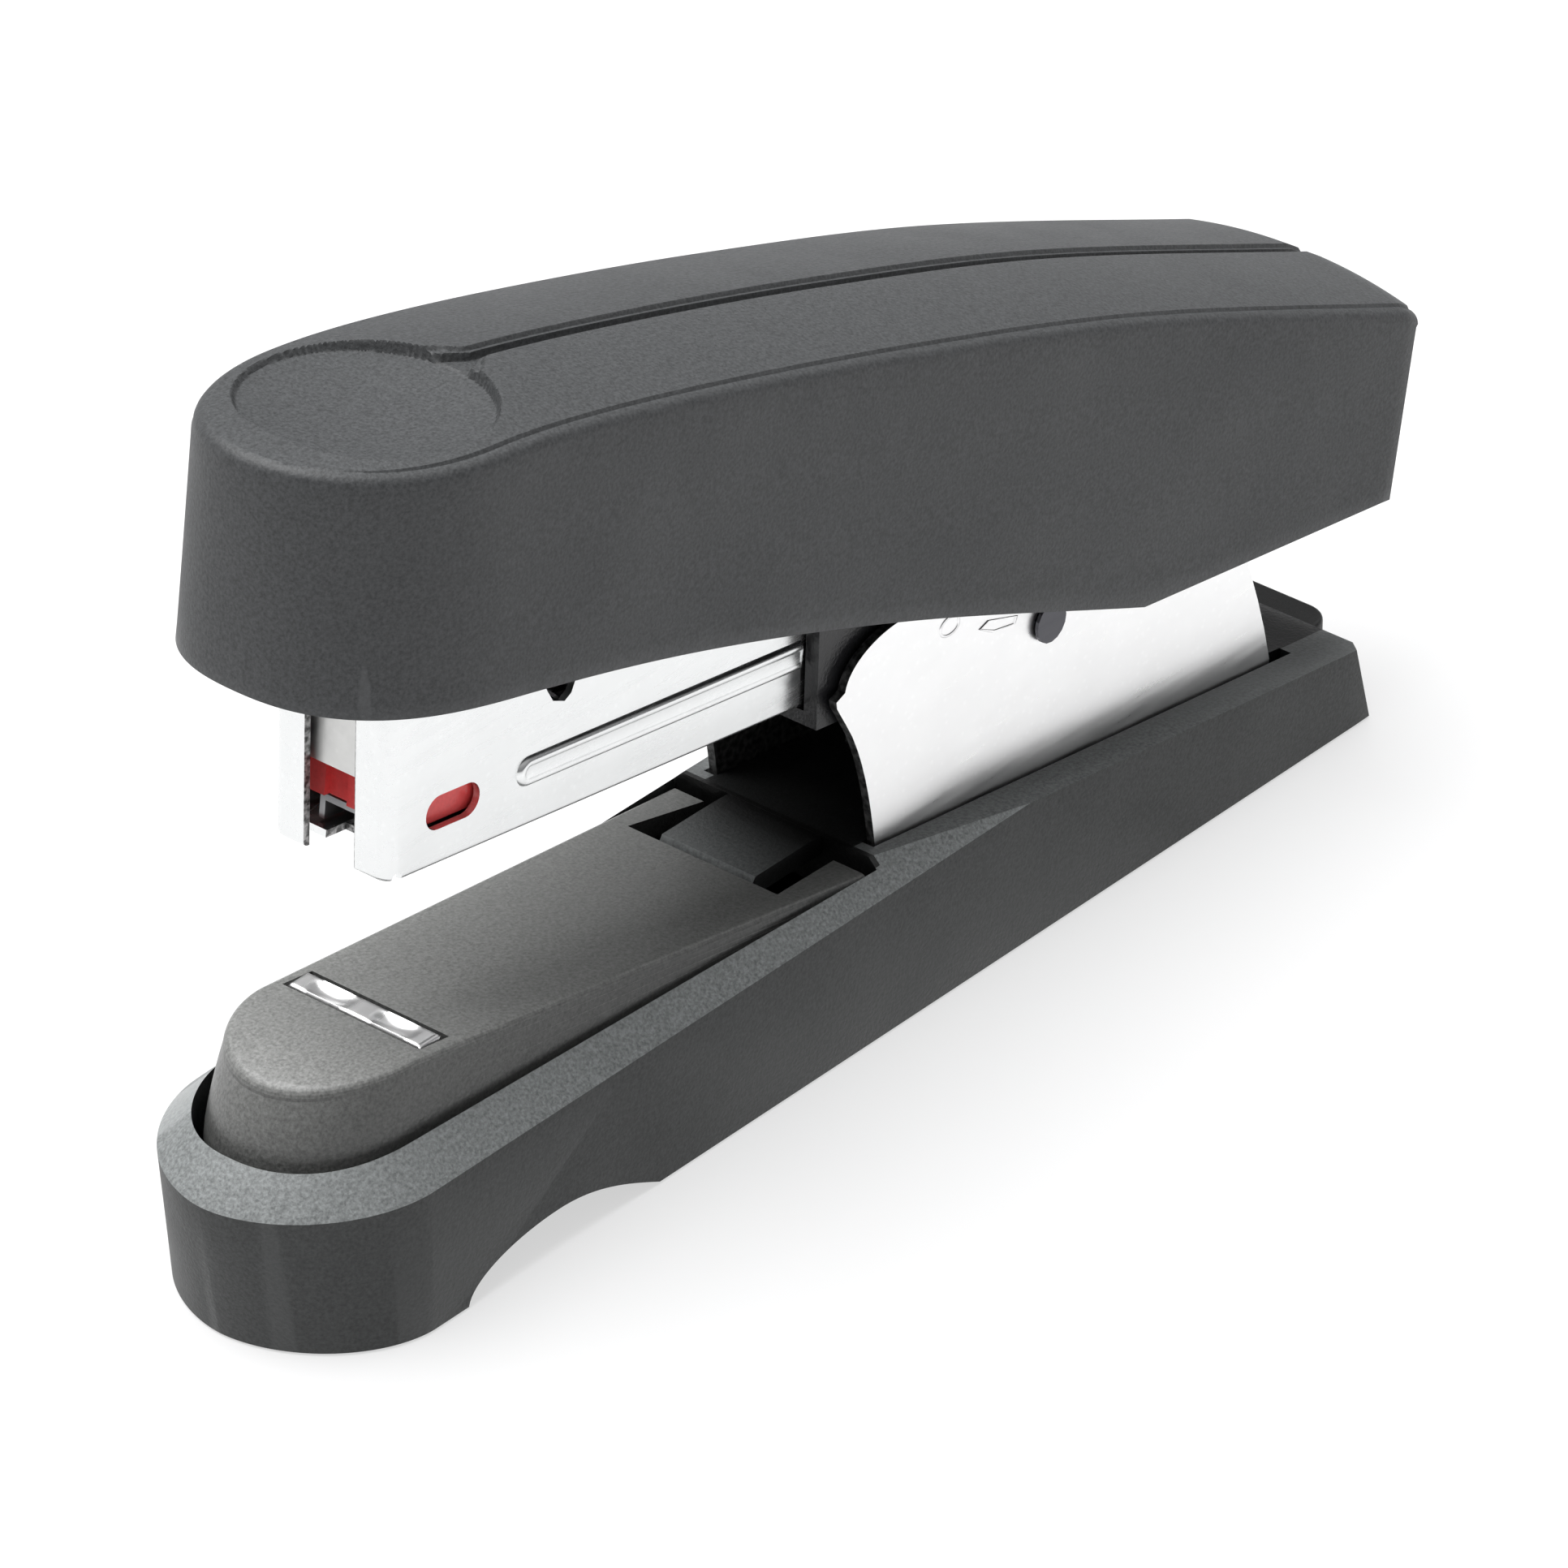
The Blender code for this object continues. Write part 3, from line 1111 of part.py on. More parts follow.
def make_axle():
    reach = CHASSIS_HALF_WIDTH + GAP + CLIP_THICKNESS + 0.2
    axle = cylinder_y("hinge_axle", HINGE_X, HINGE_Z, AXLE_RADIUS, -reach, reach)
    finish(axle, "hinge_axle", "spring_steel", (0.0, 0.0))
    clips = []
    for sign in (-1, 1):
        start = CHASSIS_HALF_WIDTH + GAP
        y0, y1 = sorted((sign * start, sign * (start + CLIP_THICKNESS)))
        clip = cylinder_y("clip", HINGE_X, HINGE_Z, CLIP_RADIUS, y0, y1)
        clips.append(cut(clip, cylinder_y("bore", HINGE_X, HINGE_Z, AXLE_RADIUS + 0.1, y0 - 1, y1 + 1)))
    finish_each(clips, "axle_clip", ("near", "far"), "spring_steel", (0.0, 0.0))


def centre_on_footprint():
    """Moves everything so that the origin is the middle of the footprint."""
    bpy.context.view_layer.update()
    pieces = [piece for piece in bpy.context.scene.objects if piece.type == "MESH"]
    xs = [(piece.matrix_world @ vertex.co).x for piece in pieces for vertex in piece.data.vertices]
    middle = (min(xs) + max(xs)) / 2
    for piece in pieces:
        piece.location.x -= middle
    bpy.context.view_layer.update()
    return middle


def main():
    for old in list(bpy.data.objects):
        bpy.data.objects.remove(old)
    make_base_shell()
    make_base_pads()
    make_riser()
    make_anvil()
    make_lift_spring()
    make_clinch_cover()
    make_magazine()
    make_pusher()
    make_handle_cover()
    make_chassis()
    make_driver()
    make_handle_spring()
    make_axle()
    print("footprint middle, mm:", round(centre_on_footprint() / MM, 4))


main()
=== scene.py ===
import json
import math

import bmesh
import bpy
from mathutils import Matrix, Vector

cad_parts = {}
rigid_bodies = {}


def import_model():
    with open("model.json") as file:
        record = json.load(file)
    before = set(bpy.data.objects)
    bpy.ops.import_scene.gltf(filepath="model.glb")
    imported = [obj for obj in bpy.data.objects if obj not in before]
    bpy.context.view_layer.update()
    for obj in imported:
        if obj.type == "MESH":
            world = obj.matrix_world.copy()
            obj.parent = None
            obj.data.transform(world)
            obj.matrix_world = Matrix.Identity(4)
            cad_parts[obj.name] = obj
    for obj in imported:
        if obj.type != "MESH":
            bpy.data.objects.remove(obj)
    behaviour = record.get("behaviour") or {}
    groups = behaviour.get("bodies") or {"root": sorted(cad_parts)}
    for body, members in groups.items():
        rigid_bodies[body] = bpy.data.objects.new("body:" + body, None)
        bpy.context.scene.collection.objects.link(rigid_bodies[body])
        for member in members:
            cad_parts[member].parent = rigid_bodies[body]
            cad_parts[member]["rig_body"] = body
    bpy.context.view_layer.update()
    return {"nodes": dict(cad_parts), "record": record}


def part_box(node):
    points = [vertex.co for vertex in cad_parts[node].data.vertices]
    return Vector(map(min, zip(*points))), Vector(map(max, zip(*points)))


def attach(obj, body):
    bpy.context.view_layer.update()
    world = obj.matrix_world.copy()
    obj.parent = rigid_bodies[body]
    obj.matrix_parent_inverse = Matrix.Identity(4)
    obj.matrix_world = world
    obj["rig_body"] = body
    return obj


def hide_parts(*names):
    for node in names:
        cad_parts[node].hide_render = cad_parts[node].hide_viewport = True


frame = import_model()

MM = 0.001
NODES = frame["nodes"]
SLOT_OF = {entry["node"]: entry["material_slot"] for entry in frame["record"]["subparts"]}

# Shapes below are written in millimetres with X = 0 at the centre of the base's nose.
AXLE_LOW, AXLE_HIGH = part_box("hinge_axle")
HINGE_X = 124.0
HINGE_Z = 50.0
SHIFT = Vector(((AXLE_LOW.x + AXLE_HIGH.x) / 2 - HINGE_X * MM, 0.0, 0.0))


# ---------------------------------------------------------------- mesh helpers


def through(points, x):
    """Height at x on a smooth curve through a few points, with straight ends."""
    last = len(points) - 1
    span = 0
    while span < last - 1 and x > points[span + 1][0]:
        span += 1
    (x0, z0), (x1, z1) = points[span], points[span + 1]

    def tangent(index):
        low = points[max(index - 1, 0)]
        high = points[min(index + 1, last)]
        return (high[1] - low[1]) / (high[0] - low[0])

    width = x1 - x0
    t = (x - x0) / width
    if t < 0.0:
        return z0 + tangent(span) * (x - x0)
    if t > 1.0:
        return z1 + tangent(span + 1) * (x - x1)
    rise = tangent(span) * width
    fall = tangent(span + 1) * width
    t2 = t * t
    t3 = t2 * t
    return (2 * t3 - 3 * t2 + 1) * z0 + (t3 - 2 * t2 + t) * rise + (3 * t2 - 2 * t3) * z1 + (t3 - t2) * fall


def smooth(low, high, value):
    """Smooth step from 0 at low to 1 at high."""
    t = min(1.0, max(0.0, (value - low) / (high - low)))
    return t * t * (3 - 2 * t)


def arc(cx, cz, radius, start, end, steps):
    """Points on an arc, its angles in degrees."""
    points = []
    for step in range(steps + 1):
        angle = math.radians(start + (end - start) * step / steps)
        points.append((cx + radius * math.cos(angle), cz + radius * math.sin(angle)))
    return points


def mirrored(points):
    """The same points on the other side of Y = 0, in reverse order."""
    return [(point[0], -point[1], *point[2:]) for point in reversed(points)]


def band_faces(rows, count):
    """Quads between neighbouring rings of count points."""
    faces = []
    for row in range(rows):
        for column in range(count):
            after = (column + 1) % count
            a = row * count
            faces.append((a + column, a + after, a + count + after, a + count + column))
    return faces


def mesh_object(name, verts, faces, merge=0.000002):
    """An object from points in millimetres, with near points merged and normals outward."""
    bm = bmesh.new()
    placed = [bm.verts.new(Vector(v) * MM + SHIFT) for v in verts]
    for face in faces:
        corners = []
        for index in face:
            if placed[index] not in corners:
                corners.append(placed[index])
        if len(corners) > 2:
            bm.faces.new(corners)
    bmesh.ops.remove_doubles(bm, verts=bm.verts, dist=merge)
    bmesh.ops.dissolve_degenerate(bm, edges=bm.edges, dist=merge)
    bmesh.ops.recalc_face_normals(bm, faces=bm.faces)
    mesh = bpy.data.meshes.new(name)
    bm.to_mesh(mesh)
    bm.free()
    made = bpy.data.objects.new(name, mesh)
    bpy.context.scene.collection.objects.link(made)
    return made


def loft(name, rings):
    """A solid through rings with the same number of points."""
    count = len(rings[0])
    verts = [point for ring in rings for point in ring]
    faces = band_faces(len(rings) - 1, count)
    for start in (0, (len(rings) - 1) * count):
        faces.append((start, start + 1, start + count - 1))
        for step in range(1, (count - 1) // 2):
            left = start + step
            right = start + count - step
            faces.append((left, left + 1, right - 1, right))
        if count % 2 == 0:
            middle = start + count // 2
            faces.append((middle - 1, middle, middle + 1))
    return mesh_object(name, verts, faces)


def flat_loft(name, rings):
    """A solid between two flat outlines."""
    count = len(rings[0])
    verts = [point for ring in rings for point in ring]
    faces = [tuple(range(count)), tuple(range(count, 2 * count))] + band_faces(1, count)
    return mesh_object(name, verts, faces)


def prism_y(name, outline, y0, y1):
    """An (x, z) outline drawn out along Y."""
    return flat_loft(name, [[(x, y, z) for x, z in outline] for y in (y0, y1)])


def prism_side(name, outline, side, inner, outer):
    """An (x, z) outline drawn out along Y on one side, between two distances from the middle."""
    return prism_y(name, outline, *sorted((side * inner, side * outer)))


def prism_z(name, outline, z0, z1):
    """An (x, y) outline drawn out along Z."""
    return flat_loft(name, [[(x, y, z) for x, y in outline] for z in (z0, z1)])


def block(name, x0, x1, y0, y1, z0, z1):
    return prism_y(name, [(x0, z0), (x1, z0), (x1, z1), (x0, z1)], y0, y1)


def rod_y(name, x, z, radius, y0, y1, steps=32):
    return prism_y(name, arc(x, z, radius, 0, 360 - 360 / steps, steps - 1), y0, y1)


def apply_last(piece, modifier):
    """Turns the piece's mesh into what the modifier makes of it."""
    bpy.context.view_layer.update()
    evaluated = piece.evaluated_get(bpy.context.evaluated_depsgraph_get())
    mesh = bpy.data.meshes.new_from_object(evaluated)
    piece.modifiers.remove(modifier)
    piece.data = mesh


def combine(target, others, operation):
    """Boolean of the target with each of the others, which it uses up."""
    for other in others:
        modifier = target.modifiers.new("step", "BOOLEAN")
        modifier.operation = operation
        modifier.solver = "EXACT"
        modifier.object = other
        apply_last(target, modifier)
        bpy.data.objects.remove(other)
    return target


def cut(target, *others):
    return combine(target, others, "DIFFERENCE")


def join(target, *others):
    return combine(target, others, "UNION")


def add_bevel(piece, width, segments, angle):
    bevel = piece.modifiers.new("soft edges", "BEVEL")
    bevel.width = width * MM
    bevel.segments = segments
    bevel.limit_method = "ANGLE"
    bevel.angle_limit = math.radians(angle)
    bevel.use_clamp_overlap = True
    return bevel


def rounded(piece, width, segments=3, angle=30):
    """Rounds the sharp edges of a mesh at once, before it is cut."""
    apply_last(piece, add_bevel(piece, width, segments, angle))
    return piece


def soften(piece, width, segments=2, angle=30):
    """Rounds the sharp edges of a piece and smooths its shading."""
    piece.data.shade_smooth()
    if width:
        add_bevel(piece, width, segments, angle).harden_normals = True
    piece.data.set_sharp_from_angle(angle=math.radians(angle))
    return piece


def stands_for(piece, body, slot, look, *nodes):
    """Puts a finer piece in place of CAD nodes."""
    piece.data.materials.clear()
    piece.data.materials.append(look)
    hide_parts(*nodes)
    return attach(piece, body)


# ---------------------------------------------------------------- materials

GRAIN_SCALE = 2600
BRUSH_SCALE = (60.0, 900.0, 900.0)


def tree_of(name):
    """A new material, its node tree and its shader."""
    made = bpy.data.materials.new(name)
    made.use_nodes = True
    tree = made.node_tree
    return made, tree, tree.nodes["Principled BSDF"]


def node(tree, kind, **values):
    """A node with its properties and input values set by name."""
    made = tree.nodes.new(kind)
    for key, value in values.items():
        if hasattr(made, key):
            setattr(made, key, value)
        else:
            made.inputs[key.replace("_", " ")].default_value = value
    return made


def spread(tree, source, low, high, from_low=0.0, from_high=1.0):
    """Maps a 0..1 value on to another range."""
    made = tree.nodes.new("ShaderNodeMapRange")
    made.inputs["From Min"].default_value = from_low
    made.inputs["From Max"].default_value = from_high
    made.inputs["To Min"].default_value = low
    made.inputs["To Max"].default_value = high
    tree.links.new(source, made.inputs["Value"])
    return made.outputs["Result"]


def link_or_set(tree, value, socket):
    """Feeds a socket from another socket, or gives it a plain value."""
    if isinstance(value, bpy.types.NodeSocket):
        tree.links.new(value, socket)
    else:
        socket.default_value = value


def maths(tree, operation, *values):
    made = node(tree, "ShaderNodeMath", operation=operation)
    for place, value in enumerate(values):
        link_or_set(tree, value, made.inputs[place])
    return made.outputs[0]


def blend(tree, factor, first, second, kind="MIX"):
    """Mixes two colours, each a socket or a plain colour."""
    made = node(tree, "ShaderNodeMix", data_type="RGBA", blend_type=kind)
    link_or_set(tree, factor, made.inputs["Factor"])
    for name, value in (("A", first), ("B", second)):
        plain = isinstance(value, tuple)
        link_or_set(tree, (*value, 1) if plain else value, made.inputs[name])
    return made.outputs["Result"]


def axes_of(tree, vector):
    split = tree.nodes.new("ShaderNodeSeparateXYZ")
    tree.links.new(vector, split.inputs[0])
    return split.outputs


def object_place(tree):
    return tree.nodes.new("ShaderNodeTexCoord").outputs["Object"]


def geometry(tree, output):
    return tree.nodes.new("ShaderNodeNewGeometry").outputs[output]


def relief(tree, shader, height, strength, distance):
    bump = node(tree, "ShaderNodeBump", Strength=strength, Distance=distance)
    tree.links.new(height, bump.inputs["Height"])
    tree.links.new(bump.outputs["Normal"], shader.inputs["Normal"])


def plastic(
    name, colour, roughness, grain=0.35, bump=0.00003, edge=0.35, painted_top_light=1.0, painted_top_light_from=(0.86, 0.995), flat=1.0
):
    """Moulded plastic: fine grain, edges a little lighter from rubbing wear and a painted highlight, and painted
    light on faces that look up.

    The painted light grows over painted_top_light_from, a range of the normal's Z, and flat scales it on level
    faces.
    """
    made, tree, shader = tree_of(name)
    place = object_place(tree)
    fine = node(tree, "ShaderNodeTexNoise", Scale=GRAIN_SCALE, Detail=3.0, Roughness=0.65)
    pits = node(tree, "ShaderNodeTexVoronoi", Scale=GRAIN_SCALE * 0.8)
    wide = node(tree, "ShaderNodeTexNoise", Scale=60.0, Detail=4.0, Roughness=0.6)
    for texture in (fine, pits, wide):
        tree.links.new(place, texture.inputs["Vector"])
    grains = spread(tree, fine.outputs["Fac"], 0.0, 1.0, 0.32, 0.68)
    dark = tuple(c * (1 - grain * 0.45) for c in colour)
    light = tuple(min(1.0, c * (1 + grain)) for c in colour)
    body = blend(tree, grains, dark, light)
    # Convex edges are painted lighter: wear from rubbing, and a painted highlight on rims.
    wear_and_highlight_edges = geometry(tree, "Pointiness")
    edges = spread(tree, wear_and_highlight_edges, 0.0, edge, 0.52, 0.62)
    rubbed_and_highlit = blend(tree, edges, body, tuple(min(1.0, c * 1.9 + 0.01) for c in colour))
    # Painted light: faces that look up are painted lighter, scaled by flat on level faces.
    upward = axes_of(tree, geometry(tree, "True Normal"))["Z"]
    gain = spread(tree, upward, 1.0, painted_top_light, *painted_top_light_from)
    level = spread(tree, upward, 1.0, flat, 0.9, 0.97)
    lit = blend(tree, 1.0, rubbed_and_highlit, maths(tree, "MULTIPLY", gain, level), "MULTIPLY")
    tree.links.new(lit, shader.inputs["Base Color"])
    patches = spread(tree, wide.outputs["Fac"], roughness - 0.05, roughness + 0.05, 0.3, 0.7)
    polish = maths(tree, "SUBTRACT", patches, spread(tree, wear_and_highlight_edges, 0.0, 0.15, 0.52, 0.62))
    tree.links.new(polish, shader.inputs["Roughness"])
    relief(tree, shader, maths(tree, "ADD", grains, pits.outputs["Distance"]), 0.6, bump)
    shader.inputs["Specular IOR Level"].default_value = 0.36
    return made


def near_middle(tree, place, half):
    """1 within half (mm) of the middle plane and 0 beyond it."""
    across = axes_of(tree, place)["Y"]
    return maths(tree, "LESS_THAN", maths(tree, "ABSOLUTE", across), half * MM)


def dark_faces(tree, place, inner, edges):
    """1 on a plate's inner faces, and on its cut edges too where edges is set, and 0 on its outer faces."""
    inside = near_middle(tree, place, inner)
    if not edges:
        return inside
    facing = axes_of(tree, geometry(tree, "True Normal"))["Y"]
    edge = maths(tree, "LESS_THAN", maths(tree, "ABSOLUTE", facing), 0.45)
    return maths(tree, "MAXIMUM", inside, edge)


def paint_shade_along(look, start, end, half, stop=200.0, depth=0.93):
    """Paints shade on a moulding near the middle plane, darker from start to end along X, and not beyond stop."""
    tree = look.node_tree
    base_colour = tree.nodes["Principled BSDF"].inputs["Base Color"]
    place = object_place(tree)
    x = axes_of(tree, place)["X"]
    low, high, last = ((value + SHIFT.x / MM) * MM for value in (start, end, stop))
    ahead = maths(tree, "MULTIPLY", spread(tree, x, 0.0, depth, low, high), maths(tree, "LESS_THAN", x, last))
    amount = maths(tree, "MULTIPLY", near_middle(tree, place, half), ahead)
    shaded = blend(tree, amount, base_colour.links[0].from_socket, (0.004, 0.004, 0.004))
    tree.links.new(shaded, base_colour)


def steel(name, colour, roughness, scratch=0.000002, speckle=0.04, inner=0.0, slit=0.0):
    """Plated sheet: faint drawn lines along the piece, cloudy plating and small bright flecks.

    Faces within inner of the middle plane are painted near black as shade between the plates, and cut edges are
    bare dark steel; faces within slit are grey, bare cut edges at the slit and painted shade on the faces beside
    it.
    """
    made, tree, shader = tree_of(name)
    place = object_place(tree)
    stretch = node(tree, "ShaderNodeMapping", Scale=BRUSH_SCALE)
    tree.links.new(place, stretch.inputs["Vector"])
    lines = node(tree, "ShaderNodeTexNoise", Scale=1.0, Detail=5.0, Roughness=0.7)
    tree.links.new(stretch.outputs["Vector"], lines.inputs["Vector"])
    cloud = node(tree, "ShaderNodeTexNoise", Scale=120.0, Detail=5.0, Roughness=0.6)
    fleck = node(tree, "ShaderNodeTexVoronoi", Scale=900.0)
    for texture in (cloud, fleck):
        tree.links.new(place, texture.inputs["Vector"])
    flecks = spread(tree, fleck.outputs["Distance"], 1.0, 0.0, 0.05, 0.3)
    dull = tuple(c * (1 - speckle) for c in colour)
    body = blend(tree, spread(tree, cloud.outputs["Fac"], 0.0, 1.0, 0.3, 0.7), dull, colour)
    finish = blend(tree, spread(tree, flecks, 0.0, 0.5), body, tuple(min(1.0, c * 1.06) for c in colour))
    shader.inputs["Metallic"].default_value = 1.0
    # Painted shade: faces near the middle plane are painted dark where shade falls between parts; cut edges keep
    # their bare colour.
    if inner or slit:
        mask = dark_faces(tree, place, inner or slit, bool(inner))
        masked_grain = node(tree, "ShaderNodeTexNoise", Scale=1500.0, Detail=3.0)
        tree.links.new(place, masked_grain.inputs["Vector"])
        bare_and_shade_tones = ((0.012, 0.012, 0.012), (0.10, 0.10, 0.10)) if inner else ((0.06, 0.06, 0.06), (0.5, 0.5, 0.5))
        bare_and_shaded = blend(tree, spread(tree, masked_grain.outputs["Fac"], 0.0, 1.0, 0.4, 0.65), *bare_and_shade_tones)
        finish = blend(tree, mask, finish, bare_and_shaded)
        tree.links.new(spread(tree, mask, 1.0, 0.25), shader.inputs["Metallic"])
    tree.links.new(finish, shader.inputs["Base Color"])
    brushed = spread(tree, lines.outputs["Fac"], roughness - 0.06, roughness + 0.08, 0.3, 0.7)
    tree.links.new(brushed, shader.inputs["Roughness"])
    relief(tree, shader, maths(tree, "ADD", lines.outputs["Fac"], cloud.outputs["Fac"]), 0.12, scratch)
    return made


# Painted light: the cover, the base's chamfer and the clinch cover are painted lighter on faces that look up; the
# base's level faces get less of it.
COVER_LOOK = plastic("cover plastic", (0.038, 0.0395, 0.041), 0.55, grain=0.60, painted_top_light=1.2)
BASE_LOOK = plastic(
    "base plastic", (0.026, 0.0275, 0.0275), 0.50, grain=0.65, painted_top_light=5.5, painted_top_light_from=(0.2, 0.6), flat=0.58
)
CLINCH_LOOK = plastic(
    "clinch cover plastic", (0.072, 0.073, 0.071), 0.36, grain=0.50, edge=0.3, painted_top_light=2.5, painted_top_light_from=(0.2, 0.8)
)
BLACK_LOOK = plastic("black plastic", (0.006, 0.006, 0.007), 0.40, grain=0.3)
RED_LOOK = plastic("red plastic", (0.68, 0.055, 0.055), 0.35, grain=0.12, bump=0.00001, edge=0.2)
RUBBER_LOOK = plastic("rubber", (0.022, 0.022, 0.023), 0.85, grain=0.3, bump=0.00005)
# Painted shade: the riser's plates are painted near black on their inner faces, and the magazine grey beside its
# slit, where its cut edges are bare.
RISER_LOOK = steel("riser steel", (0.93, 0.93, 0.93), 0.32, inner=10.05)
CHANNEL_LOOK = steel("magazine steel", (0.80, 0.81, 0.81), 0.24, slit=3.32)
BLADE_LOOK = steel("blade steel", (0.62, 0.62, 0.61), 0.38)
CHROME_LOOK = steel("anvil plating", (0.93, 0.93, 0.93), 0.30, scratch=0.0, speckle=0.03)
SPRING_LOOK = steel("spring steel", (0.42, 0.42, 0.43), 0.34)
DARK_LOOK = steel("dark fasteners", (0.10, 0.10, 0.11), 0.38)
# Painted shade: the base between and ahead of the riser's plates and at the opening's rear wall, and the clinch
# cover darker towards its rear, under the magazine and handle.
paint_shade_along(BASE_LOOK, 56.0, 67.0, 9.9)
paint_shade_along(BASE_LOOK, 66.0, 69.0, 13.35, 70.0)
paint_shade_along(CLINCH_LOOK, 14.0, 62.0, 20.0, depth=0.5)
LOOKS = {
    "charcoal_plastic": COVER_LOOK,
    "deck_plastic": CLINCH_LOOK,
    "black_plastic": BLACK_LOOK,
    "red_plastic": RED_LOOK,
    "rubber": RUBBER_LOOK,
    "bright_steel": RISER_LOOK,
    "chrome": CHROME_LOOK,
    "spring_steel": SPRING_LOOK,
    "dark_steel": DARK_LOOK,
}


# ---------------------------------------------------------------- handle cover

COVER_HALF_WIDTH = 15.499
COVER_NOSE_CENTRE = 12.0
COVER_NOSE_LENGTH = 20.2
COVER_DRAFT = 0.045
COVER_NOSE_DRAFT = 0.055
COVER_NOSE_SQUARING = 0.16
COVER_CROWN = 2.0
COVER_FILLET = 1.3
COVER_REAR_TOP_X = 156.0
COVER_REAR_BOTTOM_X = 150.9
COVER_REAR_BOW = 0.6
COVER_KINK_X = 107.9
COVER_WALL = 1.7
COVER_ROWS = 14
COVER_CENTRE_LINE = [
    (-10.0, 96.9),
    (10.0, 96.0),
    (23.0, 93.9),
    (45.0, 88.3),
    (75.0, 79.4),
    (110.0, 67.6),
    (158.0, 48.0),
]
COVER_LOWER_EDGE = [(-12.0, 72.2), (10.0, 68.0), (38.0, 60.4), (70.0, 49.1), (107.9, 33.3)]
COVER_REAR_EDGE = [(107.9, 33.3), (150.9, 26.8)]
DISH_X = 9.8
DISH_RADIUS = 12.6
DISH_TILT = math.radians(6.5)
QUARTER = math.pi / 2
# A share of the cover's length this near to 1 is still shaped as its straight part.
ALMOST_END = 0.9999


def cover_crown_z(x, y):
    """The cover's top before the dish and groove are cut into it."""
    return through(COVER_CENTRE_LINE, x) - COVER_CROWN * (y / COVER_HALF_WIDTH) ** 2


def dish_floor_z(x, y):
    """The dish's tilted, slightly hollow floor."""
    reach = math.hypot((x - DISH_X) / math.cos(DISH_TILT), y) / DISH_RADIUS
    hollow = 1.95 + 0.75 * max(0.0, 1 - reach * reach)
    return cover_crown_z(DISH_X, 0.0) - math.tan(DISH_TILT) * (x - DISH_X) - hollow


def cover_top_z(x, y):
    """Crowned top with the thumb dish, its funnel and the stepped groove."""
    crown = cover_crown_z(x, y)
    reach = math.hypot((x - DISH_X) / math.cos(DISH_TILT), y)
    inside = smooth(0.22, -0.22, reach - DISH_RADIUS)
    depth = max(0.0, crown - dish_floor_z(x, y)) * inside
    mouth = DISH_X + DISH_RADIUS
    if x > mouth - 3.0:
        flare = 2.2 * (1 - smooth(mouth - 0.5, mouth + 3.2, x))
        wide = smooth(0.15, -0.15, abs(y) - 1.2 - flare)
        narrow = smooth(0.1, -0.1, abs(y) - 0.65 - flare * 0.6)
        depth = max(depth, 0.45 * wide + 0.85 * narrow)
    return crown - depth


def cover_bottom_z(x):
    return through(COVER_LOWER_EDGE if x < COVER_KINK_X else COVER_REAR_EDGE, x)


def cover_section(angle, share, columns, end_round=0.0, inner=False):
    """One cross-section of the cover, from its lower edge on +Y over the top to that on -Y.

    The angle goes round the nose and the share along the straight part, and end_round turns the section in
    at the rear end.
    """
    nose = abs(math.cos(angle))
    side = math.sin(angle)
    end_in = COVER_FILLET * (1 - math.cos(end_round))
    end_back = COVER_FILLET * (1 - math.sin(end_round)) if end_round else COVER_FILLET if share == 1.0 else 0.0
    inset = end_in + (COVER_WALL if inner else 0.0)
    straight = COVER_REAR_TOP_X - (COVER_WALL if inner else 0.02) - COVER_NOSE_CENTRE
    x_top = COVER_NOSE_CENTRE - nose * (COVER_NOSE_LENGTH - inset) + share * straight
    edge_z = cover_crown_z(x_top, (COVER_HALF_WIDTH - inset) * side) - inset
    lower_x = COVER_NOSE_CENTRE + share * (COVER_REAR_BOTTOM_X - COVER_NOSE_CENTRE)
    deep = edge_z - cover_bottom_z(lower_x if share else x_top)
    half = []
    for row in range(COVER_ROWS):
        level = 1.0 - row / COVER_ROWS
        depth = deep * level
        square = 1.0 - COVER_NOSE_SQUARING * level
        along = share * (straight + (COVER_REAR_BOTTOM_X - COVER_REAR_TOP_X) * level)
        x = COVER_NOSE_CENTRE - nose**square * (COVER_NOSE_LENGTH - inset + COVER_NOSE_DRAFT * depth) + along
        y = side**square * (COVER_HALF_WIDTH - inset + COVER_DRAFT * depth)
        z = cover_bottom_z(x) if row == 0 else edge_z - depth
        if row:
            z = min(z, edge_z - COVER_FILLET - 0.2)
        half.append((x, y, z))
    fillet = 0.4 if inner else COVER_FILLET
    for step in range(7):
        turn = QUARTER * step / 6
        inward = fillet * (1 - math.cos(turn))
        x = x_top + (0.0 if share else nose * inward)
        half.append((x, side * (COVER_HALF_WIDTH - inset - inward), edge_z - fillet * (1 - math.sin(turn))))
    x_flat, top_y, _ = half[-1]
    for y_share in columns:
        y = top_y * y_share
        x = x_flat + COVER_REAR_BOW * share**8 * (1 - y_share * y_share)
        z = cover_crown_z(x, y) - 3.4 if inner else cover_top_z(x, y) - end_in
        half.append((x, y, z))
    if end_round or share == 1.0:
        half = [(x - end_back, y, z) for x, y, z in half]
    return half + [(x, -y, z) for x, y, z in reversed(half[:-1])]


def cover_columns():
    """Column places across half of the top, closer together at the groove."""
    coarse = [1 - step / 60 for step in range(1, 53)]
    fine = [0.12, 0.105, 0.095, 0.088, 0.081, 0.075, 0.069, 0.06, 0.052, 0.047, 0.042, 0.037, 0.03, 0.018, 0.0]
    return coarse + fine


